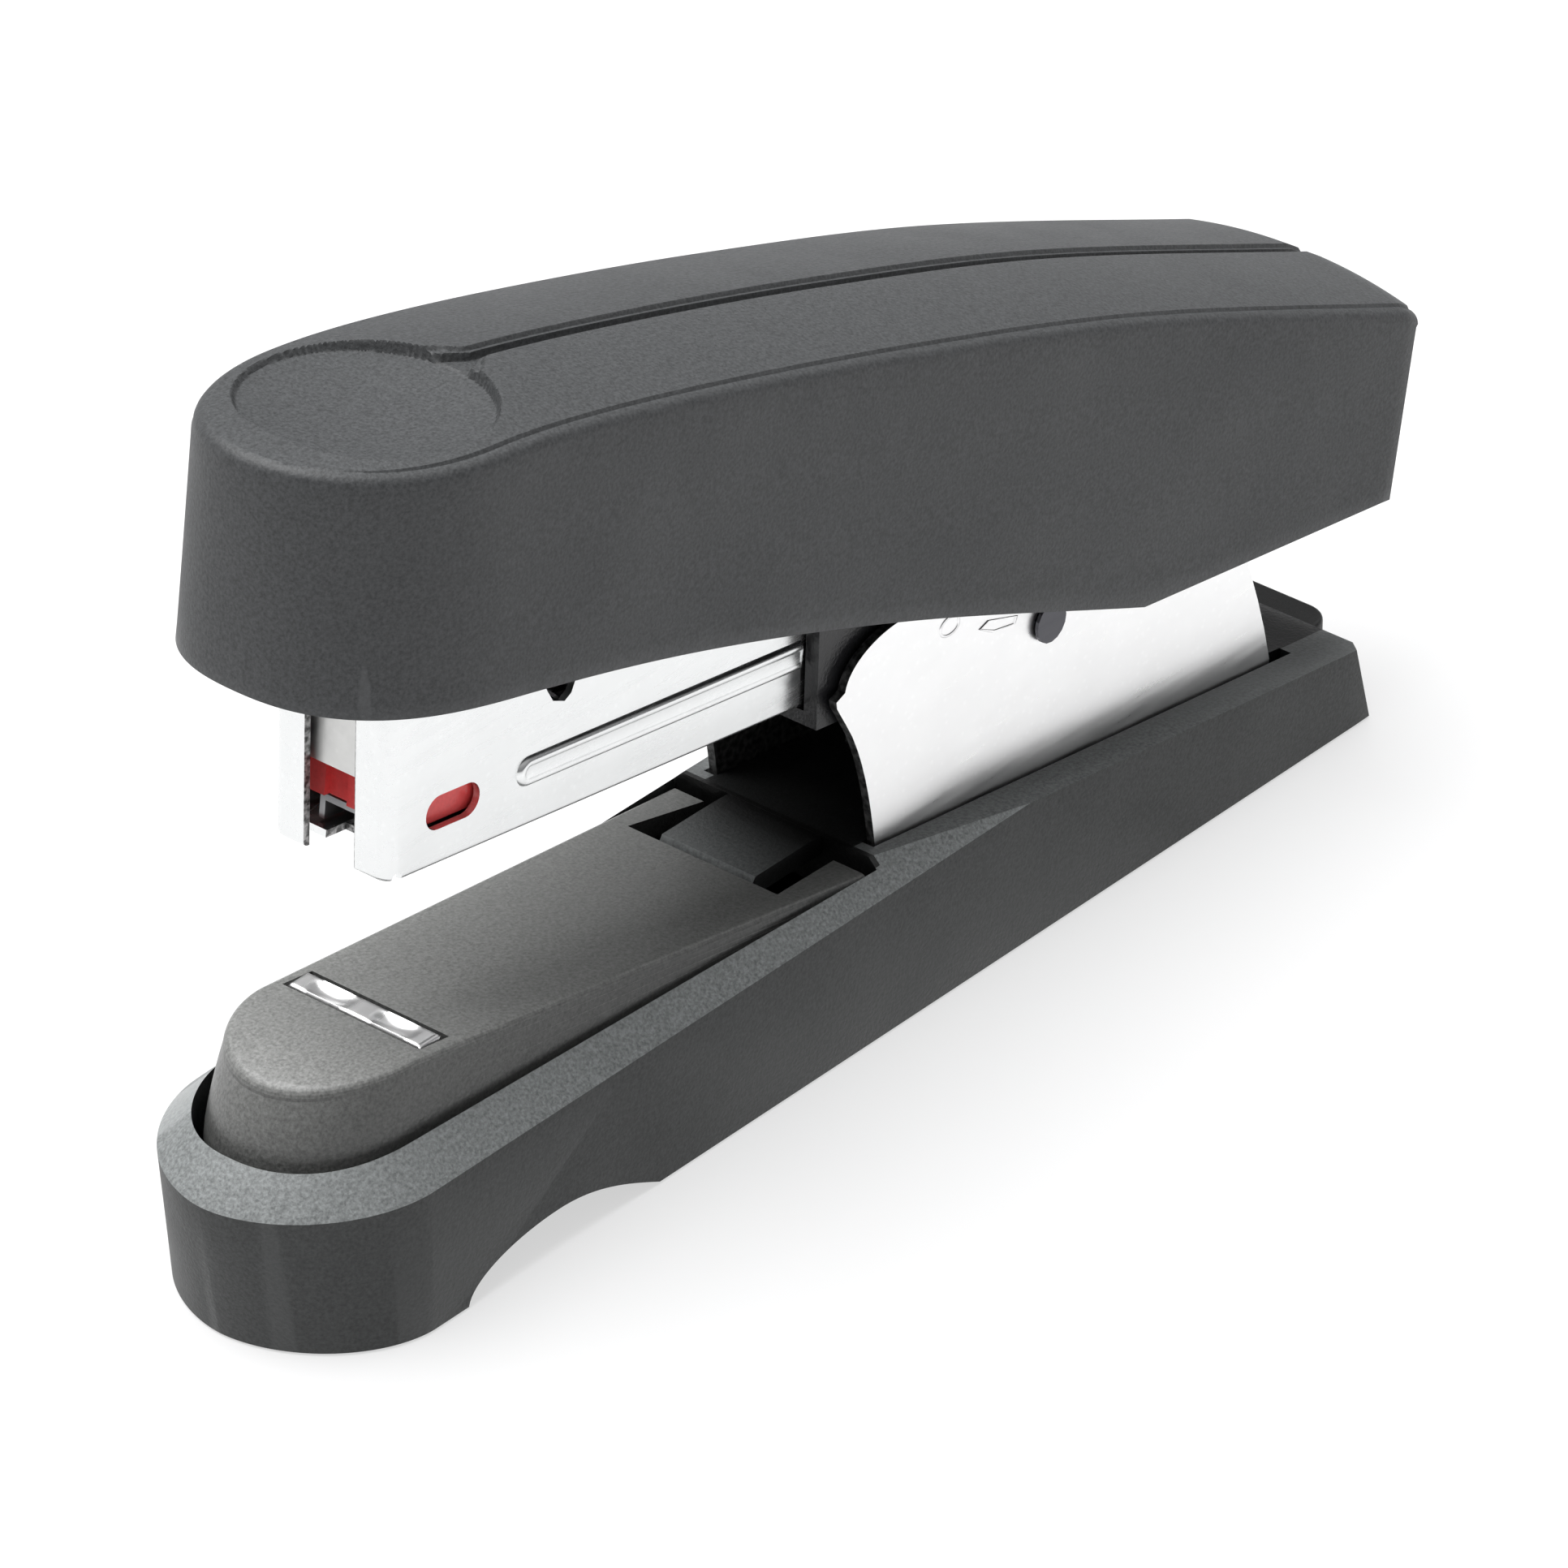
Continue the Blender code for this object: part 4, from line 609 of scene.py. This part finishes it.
def outer_sections(columns):
    """The outer skin: closely spaced round the nose and dish, and turned in at the rear end."""
    straight = COVER_REAR_BOTTOM_X - COVER_NOSE_CENTRE
    places = [0.22 * step for step in range(1, 72)]
    here = places[-1]
    while here < straight - 1.2:
        here += 1.1
        places.append(min(here, straight - 0.2))
    kink = COVER_KINK_X - COVER_NOSE_CENTRE
    nearest = min(range(len(places)), key=lambda index: abs(places[index] - kink))
    places[nearest] = kink
    sections = [cover_section(QUARTER * step / 96, 0.0, columns) for step in range(97)]
    for place in places:
        if place < straight - 1.4:
            sections.append(cover_section(QUARTER, place / straight * ALMOST_END, columns))
    for turn in (0.25, 0.5, 0.75, 1.0):
        sections.append(cover_section(QUARTER, 1.0, columns, end_round=QUARTER * turn))
    return sections


def inner_sections(columns):
    nose = [cover_section(QUARTER * step / 16, 0.0, columns, inner=True) for step in range(17)]
    return nose + [cover_section(QUARTER, step / 30 * ALMOST_END, columns, inner=True) for step in range(1, 31)]


def build_cover():
    columns = cover_columns()
    outer = outer_sections(columns)
    inner = inner_sections(columns)
    count = len(outer[0])
    verts = [point for section in outer + inner for point in section]
    faces = []
    spans = ((0, len(outer)), (len(outer), len(outer) + len(inner)))
    for first, after in spans:
        for row in range(first, after - 1):
            for column in range(count - 1):
                a = row * count + column
                faces.append((a, a + 1, a + count + 1, a + count))
        last = (after - 1) * count
        for step in range(count // 2):
            faces.append((last + step, last + step + 1, last + count - 2 - step, last + count - 1 - step))
    # The lower rim joins the outer skin's edge to the inner skin's edge.
    outer_rim = [row * count for row in range(len(outer))]
    inner_rim = [(len(outer) + row) * count for row in range(len(inner))]
    for offset in (0, count - 1):
        out = [index + offset for index in outer_rim]
        inn = [index + offset for index in inner_rim]
        i = j = 0
        while i < len(out) - 1 or j < len(inn) - 1:
            step_out = verts[out[i + 1]][0] if i < len(out) - 1 else 1e9
            step_in = verts[inn[j + 1]][0] if j < len(inn) - 1 else 1e9
            if step_out <= step_in:
                faces.append((out[i], out[i + 1], inn[j]))
                i += 1
            else:
                faces.append((out[i], inn[j + 1], inn[j]))
                j += 1
    last_out, last_in = outer_rim[-1], inner_rim[-1]
    faces.append((last_out, last_out + count - 1, last_in + count - 1, last_in))
    cover = mesh_object("cover_shell", verts, faces, merge=0.0000005)
    cut(cover, block("apron", COVER_REAR_BOTTOM_X - 6, COVER_REAR_TOP_X + 6, -13.2, 13.2, 20.0, 41.0))
    soften(cover, 0.0, angle=38)
    return stands_for(cover, "handle", "charcoal_plastic", COVER_LOOK, "handle_cover")


# ---------------------------------------------------------------- finer pieces


PIN_X = 61.0
PIN_Z = 15.0
PIN_HOLE = 1.3
BASE_HALF_WIDTH = 15.5
BASE_NOSE = 16.4
BASE_LENGTH = 147.5
BASE_CHAMFER = 4.6
BASE_EDGE_Z = 16.4
BASE_EDGE_RISE = 0.006
DECK_KINK_X = 91.5
DECK_FALL = 0.1325


def nose_plan(centre, nose, half_width, end, taper=0.0, steps=48):
    """Plan outline with an elliptical nose and sides that may widen towards a straight rear."""
    half = []
    for step in range(steps + 1):
        angle = math.pi / 2 * step / steps
        half.append((centre - nose * math.cos(angle), half_width * math.sin(angle)))
    half.append((end, half_width + taper * (end - centre)))
    return half + mirrored(half[1:])


def deck_z(x):
    return BASE_EDGE_Z + BASE_EDGE_RISE * DECK_KINK_X + DECK_FALL * (DECK_KINK_X - x)


def side_top_z(x):
    return min(BASE_EDGE_Z + BASE_EDGE_RISE * x, deck_z(x))


def base_ring(level):
    """One ring of the base: 0 at the bottom, 1 at the top of the side, 2 above the chamfer."""
    stations = []
    for step in range(49):
        angle = math.pi / 2 * step / 48
        stations.append((-(abs(math.cos(angle)) ** 1.09), math.sin(angle) ** 1.09, 0.0))
    for share in (0.2, 0.4, 0.5, 0.56, DECK_KINK_X / BASE_LENGTH, 0.8, 0.975, 0.992, 1.0):
        stations.append((0.0, 1.0, share))
    ring = []
    for nose, side, share in stations:
        length = 14.2 if level == 0 else BASE_NOSE
        rear = BASE_LENGTH + (2.6 if level == 0 else 0.0)
        plain_x = nose * BASE_NOSE + share * BASE_LENGTH
        z = 0.3 if level == 0 else side_top_z(plain_x)
        inset = 0.0
        if level == 2:
            inset = max(0.0, min(BASE_CHAMFER, deck_z(plain_x) - z))
            z += inset
        corner = 1.5 * (1 - math.sqrt(max(0.0, 1 - smooth(0.988, 1.0, share) ** 2))) if share > 0.98 else 0.0
        ring.append((nose * (length - inset) + share * rear, side * (BASE_HALF_WIDTH - inset) - corner, z))
    return ring + mirrored(ring[1:])


def build_base():
    shell = rounded(loft("base_fine", [base_ring(level) for level in range(3)]), 0.7, 3, 18)
    top = deck_z(151.7)
    plan = [(144.5, 8.3)] + arc(148.7, 5.3, 3.0, 90, 0, 10)
    plan += mirrored(plan)
    join(shell, rounded(prism_z("tongue", plan, top - 3.0, top), 0.5, 3, 50))
    cut(shell, prism_z("opening", nose_plan(0.8, 13.3, 11.8, 69.3, 0.025), 7.0, 40.0))
    cavity = [(38.0, -2.0), (145.5, -2.0), (145.5, deck_z(145.5) - 2.2), (71.5, deck_z(71.5) - 2.2)]
    cut(shell, prism_y("cavity", cavity + [(71.5, 14.0), (38.0, 14.0)], -13.5, 13.5))
    bridge = [(58.6, 19.4), (58.6, 17.8), (70.3, 17.8), (70.3, deck_z(70.3) - 0.05)]
    rise = deck_z(70.3) - 20.0
    bridge += [(69.0 - 1.1 * k, 20.0 + rise * 0.3 * (1 - k / 4) ** 2) for k in range(5)]
    bridge += [(59.0, 20.0)]
    join(shell, prism_y("bridge", bridge, -6.2, 6.2))
    recess = [(4.8, -2.0)]
    for degrees in range(0, 91, 5):
        turn = math.radians(degrees)
        recess.append((4.8 + 13.43 * (1 - math.cos(turn)), 4.9 * math.sin(turn)))
    for step in range(1, 19):
        recess.append((18.23 + 15.77 * step / 18, 4.9 * math.cos(QUARTER * step / 18)))
    cut(shell, prism_y("recess", recess + [(34.0, -2.0)], -20, 20))
    slot = [(71.4, 5.0), (140.3, 5.0), (140.3, 30.0), (71.4, 30.0)]
    for side in (-1, 1):
        cut(shell, prism_side("slot", slot, side, 9.7, 11.3))
    cut(shell, rod_y("pin", PIN_X, PIN_Z, PIN_HOLE, -14.5, 14.5))
    cut(shell, prism_z("foot_pocket", nose_plan(0.0, 11.1, 11.3, 1.9), -1.0, 1.5))
    soften(shell, 0.22, 2, 40)
    return stands_for(shell, "base", "charcoal_plastic", BASE_LOOK, "base_shell")


def clinch_top_z(x):
    """The clinch cover's top: a straight slope that curves down over the nose."""
    return 27.2 - 0.145 * (x - 7.9) - 0.010 * max(0.0, 7.9 - x) ** 2


def clinch_ring(level, turn=0.0, wall=0.0):
    """One ring of the clinch cover, from its skirt up a slightly full side and round on to its top."""
    side_inset = 0.55 * level**1.6 + 0.75 * (1 - math.cos(turn)) + wall
    nose_inset = 2.7 * level**1.7 + 1.3 * (1 - math.cos(turn)) + wall
    centre = 0.8 + 2.8 * level
    taper = 0.035 + 0.008 * level
    low = 17.0 - (1.0 if wall else 0.0)
    radius = 1.25
    ring = []
    for x, y in nose_plan(centre, 12.0 - nose_inset + 2.8 * level, 10.9 - side_inset, 68.3, taper):
        top = clinch_top_z(x) - wall
        ring.append((x, y, low + (top - radius - low) * level + radius * math.sin(turn)))
    return ring


def build_clinch_cover():
    def rings(wall):
        up = [clinch_ring(level / 6, 0.0, wall) for level in range(7)]
        return up + [clinch_ring(1.0, QUARTER * step / 6, wall) for step in range(1, 7)]

    cover = loft("clinch_fine", rings(0.0))
    cut(cover, loft("inside", rings(1.5)))
    recess = [(58.0, 9.94), (70.3, 8.4)]
    cut(cover, prism_z("rear_recess", recess + mirrored(recess), 0.0, 40.0))
    ear = arc(PIN_X, PIN_Z, 2.4, 180, 360, 16) + [(63.4, 18.0), (58.6, 18.0)]
    for side in (-1, 1):
        join(cover, prism_side("ear", ear, side, 11.035, 12.835))
    cut(cover, rod_y("pin_hole", PIN_X, PIN_Z, PIN_HOLE, -20, 20))
    cut(cover, block("anvil_slot", 5.5, 9.8, -9.0, 9.0, 22.5, 40.0))
    soften(cover, 0.15, 2, 45)
    return stands_for(cover, "clinch", "deck_plastic", CLINCH_LOOK, "clinch_cover")


def build_anvil():
    """Plated anvil with two shallow dished grooves and a rounded rim."""
    centre = 7.4
    top = clinch_top_z(centre) + 0.1
    columns = 72
    rows = 12
    verts = []
    for row in range(rows + 1):
        x = 5.9 + 3.0 * row / rows
        for column in range(columns + 1):
            y = -8.7 + 17.4 * column / columns
            across = min(1.0, abs(x - centre) / 1.15)
            along = min(1.0, abs(abs(y) - 4.2) / 2.9)
            dip = 0.55 * max(0.0, 1 - along**2) * max(0.0, 1 - across**2)
            edge = max(smooth(1.2, 1.5, abs(x - centre)), smooth(8.4, 8.7, abs(y)))
            verts.append((x, y, top - dip - 0.25 * edge))
    faces = []
    for row in range(rows):
        for column in range(columns):
            a = row * (columns + 1) + column
            faces.append((a, a + 1, a + columns + 2, a + columns + 1))
    rim = list(range(columns + 1))
    rim += [row * (columns + 1) + columns for row in range(1, rows + 1)]
    rim += [rows * (columns + 1) + column for column in range(columns - 1, -1, -1)]
    rim += [row * (columns + 1) for row in range(rows - 1, 0, -1)]
    first = len(verts)
    verts += [(verts[index][0], verts[index][1], top - 3.2) for index in rim]
    for place, index in enumerate(rim):
        after = (place + 1) % len(rim)
        faces.append((index, first + place, first + after, rim[after]))
    faces.append(tuple(range(first, first + len(rim))))
    anvil = mesh_object("anvil_fine", verts, faces)
    soften(anvil, 0.0, angle=50)
    return stands_for(anvil, "base", "chrome", CHROME_LOOK, "anvil")


PITCH = math.radians(8.15)
MAGAZINE_FRONT_X = 3.0
MAGAZINE_FRONT_Z = 46.8
MAGAZINE_LEAN = 0.047
MAGAZINE_HALF = 7.6
MAGAZINE_INSIDE = 6.8
MAGAZINE_SHEET = 0.8


def magazine_point(s, h):
    """A point s along the magazine's underside from its front, and h square to it."""
    return (
        MAGAZINE_FRONT_X + s * math.cos(PITCH) + h * math.sin(PITCH),
        MAGAZINE_FRONT_Z - s * math.sin(PITCH) + h * math.cos(PITCH),
    )


def front_prism(name, radius, half, inset):
    """A tall block whose leaning front has rounded vertical corners, as the folded sheet has."""
    plan = [(200.0, half)] + arc(MAGAZINE_FRONT_X + inset + radius, half - radius, radius, 90, 180, 10)
    plan += mirrored(plan)
    rings = [[(x + MAGAZINE_LEAN * (z - MAGAZINE_FRONT_Z), y, z) for x, y in plan] for z in (-5.0, 105.0)]
    return flat_loft(name, rings)


def bead_outline(inset):
    """The long raised bead, open at its rear."""
    reach = 1.7 - inset
    ring = arc(19.7, 6.2, reach, 270, 90, 14) + [(60.8, 6.2 + reach), (60.8, 6.2 - reach)]
    return [magazine_point(s, h) for s, h in ring]


def stadium(s, h, length, height, steps=14):
    reach = (length - height) / 2
    ring = arc(s + reach, h, height / 2, -90, 90, steps) + arc(s - reach, h, height / 2, 90, 270, steps)
    return [magazine_point(a, b) for a, b in ring]


def build_magazine():
    end_s = 109.0 / math.cos(PITCH)
    step_s = 61.2 / math.cos(PITCH)
    side = [(MAGAZINE_FRONT_X, MAGAZINE_FRONT_Z), magazine_point(end_s, 0.0), magazine_point(end_s, 12.0)]
    side += [magazine_point(step_s + 1.0, 12.0), (64.2, 55.0), (MAGAZINE_FRONT_X + MAGAZINE_LEAN * 23.2, 70.0)]
    body = prism_y("magazine_fine", side, -MAGAZINE_HALF, MAGAZINE_HALF)
    combine(body, [front_prism("outer", 1.7, MAGAZINE_HALF, 0.0)], "INTERSECT")
    rounded(body, 0.5, 3, 60)
    low = [magazine_point(-9.0, MAGAZINE_SHEET), magazine_point(end_s + 5, MAGAZINE_SHEET)]
    trough = prism_y("trough", low + [(200.0, 100.0), (-10.0, 100.0)], -MAGAZINE_INSIDE, MAGAZINE_INSIDE)
    combine(trough, [front_prism("inner", 0.5, MAGAZINE_INSIDE, MAGAZINE_SHEET)], "INTERSECT")
    cut(body, trough, block("slit", -10.0, 9.0, -3.25, 3.25, 0.0, 100.0))
    throat = [magazine_point(s, h) for s, h in ((-5.0, -3.0), (3.2, -3.0), (3.2, 3.0), (-5.0, 3.0))]
    cutter = prism_y("throat", throat, -MAGAZINE_INSIDE, MAGAZINE_INSIDE)
    cut(body, combine(cutter, [front_prism("behind", 0.5, MAGAZINE_INSIDE, MAGAZINE_SHEET)], "INTERSECT"))
    notch = [(25.2, 60.4), (31.2, 58.4), (29.9, 56.0), (28.9, 55.5), (27.2, 56.3), (26.4, 57.8)]
    nick = [magazine_point(s, h) for s, h in ((0.9, -1.0), (2.1, -1.0), (2.1, 0.7), (1.5, 1.1), (0.9, 0.7))]
    bead_levels = ((0.0, 7.5), (0.12, 7.72), (0.35, 7.98), (0.55, 8.08), (0.8, 8.1), (1.0, 7.98), (1.15, 7.95))
    for sign in (-1, 1):
        cut(body, prism_side("window", stadium(8.8, 5.8, 7.8, 3.7), sign, 5.8, 8.6))
        cut(body, prism_side("notch", notch, sign, 5.8, 8.6))
        cut(body, prism_side("nick", nick, sign, 6.0, 8.6))
        rings = [[(x, sign * y, z) for x, z in bead_outline(inset)] for inset, y in bead_levels]
        verts = [point for ring in rings for point in ring]
        count = len(rings[0])
        faces = [tuple(range(count)), tuple(range(len(verts) - count, len(verts)))]
        faces += band_faces(len(rings) - 1, count)
        join(body, mesh_object("bead", verts, faces))
    soften(body, 0.14, 2, 40)
    return stands_for(body, "magazine", "bright_steel", CHANNEL_LOOK, "magazine_channel")


RISER_FRONT_X = 72.2
RISER_REAR_X = 136.9
RISER_LOW_Z = 3.2
PLATE_INNER = 10.0
PLATE_OUTER = 11.0
# Places on the riser's front edge, as (height, X).
RISER_FRONT_EDGE = [(14.0, RISER_FRONT_X), (18.0, 72.15), (26.6, 70.8), (33.1, 68.8), (38.4, 66.0)]


def riser_outline():
    front = [(RISER_FRONT_X, RISER_LOW_Z), (RISER_FRONT_X, 14.0)]
    front += [(through(RISER_FRONT_EDGE, z), z) for z in (*range(16, 37, 2), 37.4)]
    front += [(66.0, 38.4), (65.9, 39.2)]
    shoulder = [
        (76.0 - 8.8 * math.cos(math.radians(a)), 39.2 + 5.0 * math.sin(math.radians(a))) for a in range(6, 91, 6)
    ]
    boss = arc(HINGE_X, HINGE_Z, 5.5, 110, -4, 24)
    rear = [(132.8, 24.9), (133.8, 22.0), (134.7, 19.4), (135.9, 15.4), (RISER_REAR_X, 11.3)]
    rear.append((RISER_REAR_X, RISER_LOW_Z))
    return front + shoulder + boss + rear


def oval(cx, cy, half_length, half_height, steps):
    turns = [2 * math.pi * step / steps for step in range(steps)]
    return [(cx + half_length * math.cos(turn), cy + half_height * math.sin(turn)) for turn in turns]


def outline_ridge(path, width, y0, sign, height):
    """A thin raised line that follows a closed path on the side of a plate."""
    verts = []
    count = len(path)
    cx = sum(x for x, _ in path) / count
    cz = sum(z for _, z in path) / count
    for grow, lift in ((0.0, -0.05), (0.25, height), (0.75, height), (1.0, -0.05)):
        for x, z in path:
            size = math.hypot(x - cx, z - cz)
            step = 1 - grow * width / size
            verts.append((cx + (x - cx) * step, y0 + sign * lift, cz + (z - cz) * step))
    faces = band_faces(3, count)
    for column in range(count):
        after = (column + 1) % count
        faces.append((column, after, 3 * count + after, 3 * count + column))
    return mesh_object("ridge", verts, faces)


def build_riser():
    riser = block("riser_fine", RISER_FRONT_X, RISER_REAR_X, -PLATE_OUTER, PLATE_OUTER, RISER_LOW_Z, 4.2)
    for sign in (-1, 1):
        join(riser, prism_side("plate", riser_outline(), sign, PLATE_INNER, PLATE_OUTER))
    cut(riser, rod_y("axle_hole", HINGE_X, HINGE_Z, 2.3, -20, 20), rod_y("rivet_hole", 99.3, 33.4, 2.1, -20, 20))
    for x in (82.2, 124.9):
        cut(riser, prism_z("screw_hole", oval(x, 0.0, 1.5, 1.5, 16), 0.0, 8.0))
    soften(riser, 0.16, 2, 35)
    stands_for(riser, "base", "bright_steel", RISER_LOOK, "base_frame")
    lance = [(88.2, 37.4), (89.6, 37.9), (94.6, 36.2), (94.2, 35.4), (90.4, 36.0)]
    marks = (("oval_mark", oval(83.6, 40.0, 1.7, 1.25, 32), 0.42), ("lance_mark", lance, 0.5))
    for sign in (-1, 1):
        for name, path, width in marks:
            mark = outline_ridge(path, width, sign * PLATE_OUTER, sign, 0.09)
            mark.name = f"{name}_{'near' if sign < 0 else 'far'}"
            mark.data.materials.append(RISER_LOOK)
            soften(mark, 0.0, angle=60)
            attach(mark, "base")


SOFTER = {"staple_pusher": 0.25, "magazine_sleeve": 0.3, "hinge_axle": 0.3, "base_pad": 0.3, "nose_foot": 0.3}


def soften_rest(done):
    """Every other CAD node but the springs is carried over with its sharp edges rounded."""
    for name, piece in NODES.items():
        if name in done or name.endswith("_spring"):
            continue
        fine = piece.copy()
        fine.data = piece.data.copy()
        fine.name = f"{name}_fine"
        fine.parent = None
        fine.matrix_world = piece.matrix_world
        bpy.context.scene.collection.objects.link(fine)
        soften(fine, SOFTER.get(name, 0.12), 2, 40)
        stands_for(fine, piece["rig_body"], SLOT_OF[name], piece.data.materials[0], name)


# ---------------------------------------------------------------- setting


def aim(piece, target):
    """Turns a light's or camera's -Z towards the target."""
    piece.rotation_euler = (Vector(target) - piece.location).to_track_quat("-Z", "Y").to_euler()


CAMERA_AZIMUTH = math.radians(-49.7207)
CAMERA_ELEVATION = math.radians(32.1159)
CAMERA_DISTANCE = 1.06284
CAMERA_TARGET = (-0.02103, -0.01839, 0.04071)
CAMERA_LENS = 248.078


def make_camera():
    azimuth, elevation = CAMERA_AZIMUTH, CAMERA_ELEVATION
    level = math.cos(elevation)
    back = Vector((math.sin(azimuth) * level, -math.cos(azimuth) * level, math.sin(elevation)))
    data = bpy.data.cameras.new("camera")
    data.lens = CAMERA_LENS
    data.clip_end = 20.0
    camera = bpy.data.objects.new("camera", data)
    bpy.context.scene.collection.objects.link(camera)
    camera.location = Vector(CAMERA_TARGET) + back * CAMERA_DISTANCE
    camera.rotation_euler = (math.pi / 2 - elevation, 0.0, azimuth)
    bpy.context.scene.camera = camera


def area_light(name, place, target, size, power):
    data = bpy.data.lights.new(name, "AREA")
    data.shape = "RECTANGLE"
    data.size, data.size_y = size
    data.energy = power
    light = bpy.data.objects.new(name, data)
    bpy.context.scene.collection.objects.link(light)
    light.location = place
    aim(light, target)


def make_floor():
    floor = bpy.data.objects.new("floor", bpy.data.meshes.new("floor"))
    reach = 6.0
    corners = [(-reach, -reach, 0), (reach, -reach, 0), (reach, reach, 0), (-reach, reach, 0)]
    floor.data.from_pydata(corners, [], [(0, 1, 2, 3)])
    bpy.context.scene.collection.objects.link(floor)
    made, tree, shader = tree_of("paper floor")
    cloud = node(tree, "ShaderNodeTexNoise", Scale=3.0, Detail=2.0)
    tree.links.new(object_place(tree), cloud.inputs["Vector"])
    tones = blend(tree, cloud.outputs["Fac"], (0.28, 0.28, 0.282), (0.30, 0.30, 0.302))
    tree.links.new(tones, shader.inputs["Base Color"])
    shader.inputs["Roughness"].default_value = 0.8
    shader.inputs["Specular IOR Level"].default_value = 0.1
    shader.inputs["Emission Color"].default_value = (1.0, 1.0, 1.0, 1.0)
    shader.inputs["Emission Strength"].default_value = 0.6
    floor.data.materials.append(made)


def make_light():
    world = bpy.data.worlds.new("studio")
    world.use_nodes = True
    tree = world.node_tree
    up = axes_of(tree, tree.nodes.new("ShaderNodeTexCoord").outputs["Generated"])["Z"]
    height = spread(tree, up, 0.0, 1.0, 0.05, 0.75)
    shades = blend(tree, height, (0.10, 0.10, 0.105), (0.50, 0.50, 0.50))
    tree.links.new(shades, tree.nodes["Background"].inputs["Color"])
    bpy.context.scene.world = world
    data = bpy.data.lights.new("overhead_softbox", "SUN")
    data.energy = 5.2
    data.angle = math.radians(60)
    light = bpy.data.objects.new("overhead_softbox", data)
    bpy.context.scene.collection.objects.link(light)
    light.location = (-0.16, 0.28, 1.0)
    aim(light, (0.0, 0.0, 0.0))
    area_light("rear_softbox", (0.9, -0.1, 0.7), (0.0, 0.0, 0.06), (0.5, 0.5), 1.2)
    bpy.context.scene.view_settings.view_transform = "Standard"


def paint_nodes():
    """Every CAD node that still shows gets its procedural material."""
    special = {"base_shell": BASE_LOOK, "magazine_channel": CHANNEL_LOOK, "driver_blade": BLADE_LOOK}
    for name, piece in NODES.items():
        look = special.get(name, LOOKS[SLOT_OF[name]])
        piece.data.materials.clear()
        piece.data.materials.append(look)


make_camera()
make_light()
make_floor()
paint_nodes()
build_cover()
build_base()
build_clinch_cover()
build_anvil()
build_magazine()
build_riser()
soften_rest({"handle_cover", "base_shell", "clinch_cover", "anvil", "magazine_channel", "base_frame"})
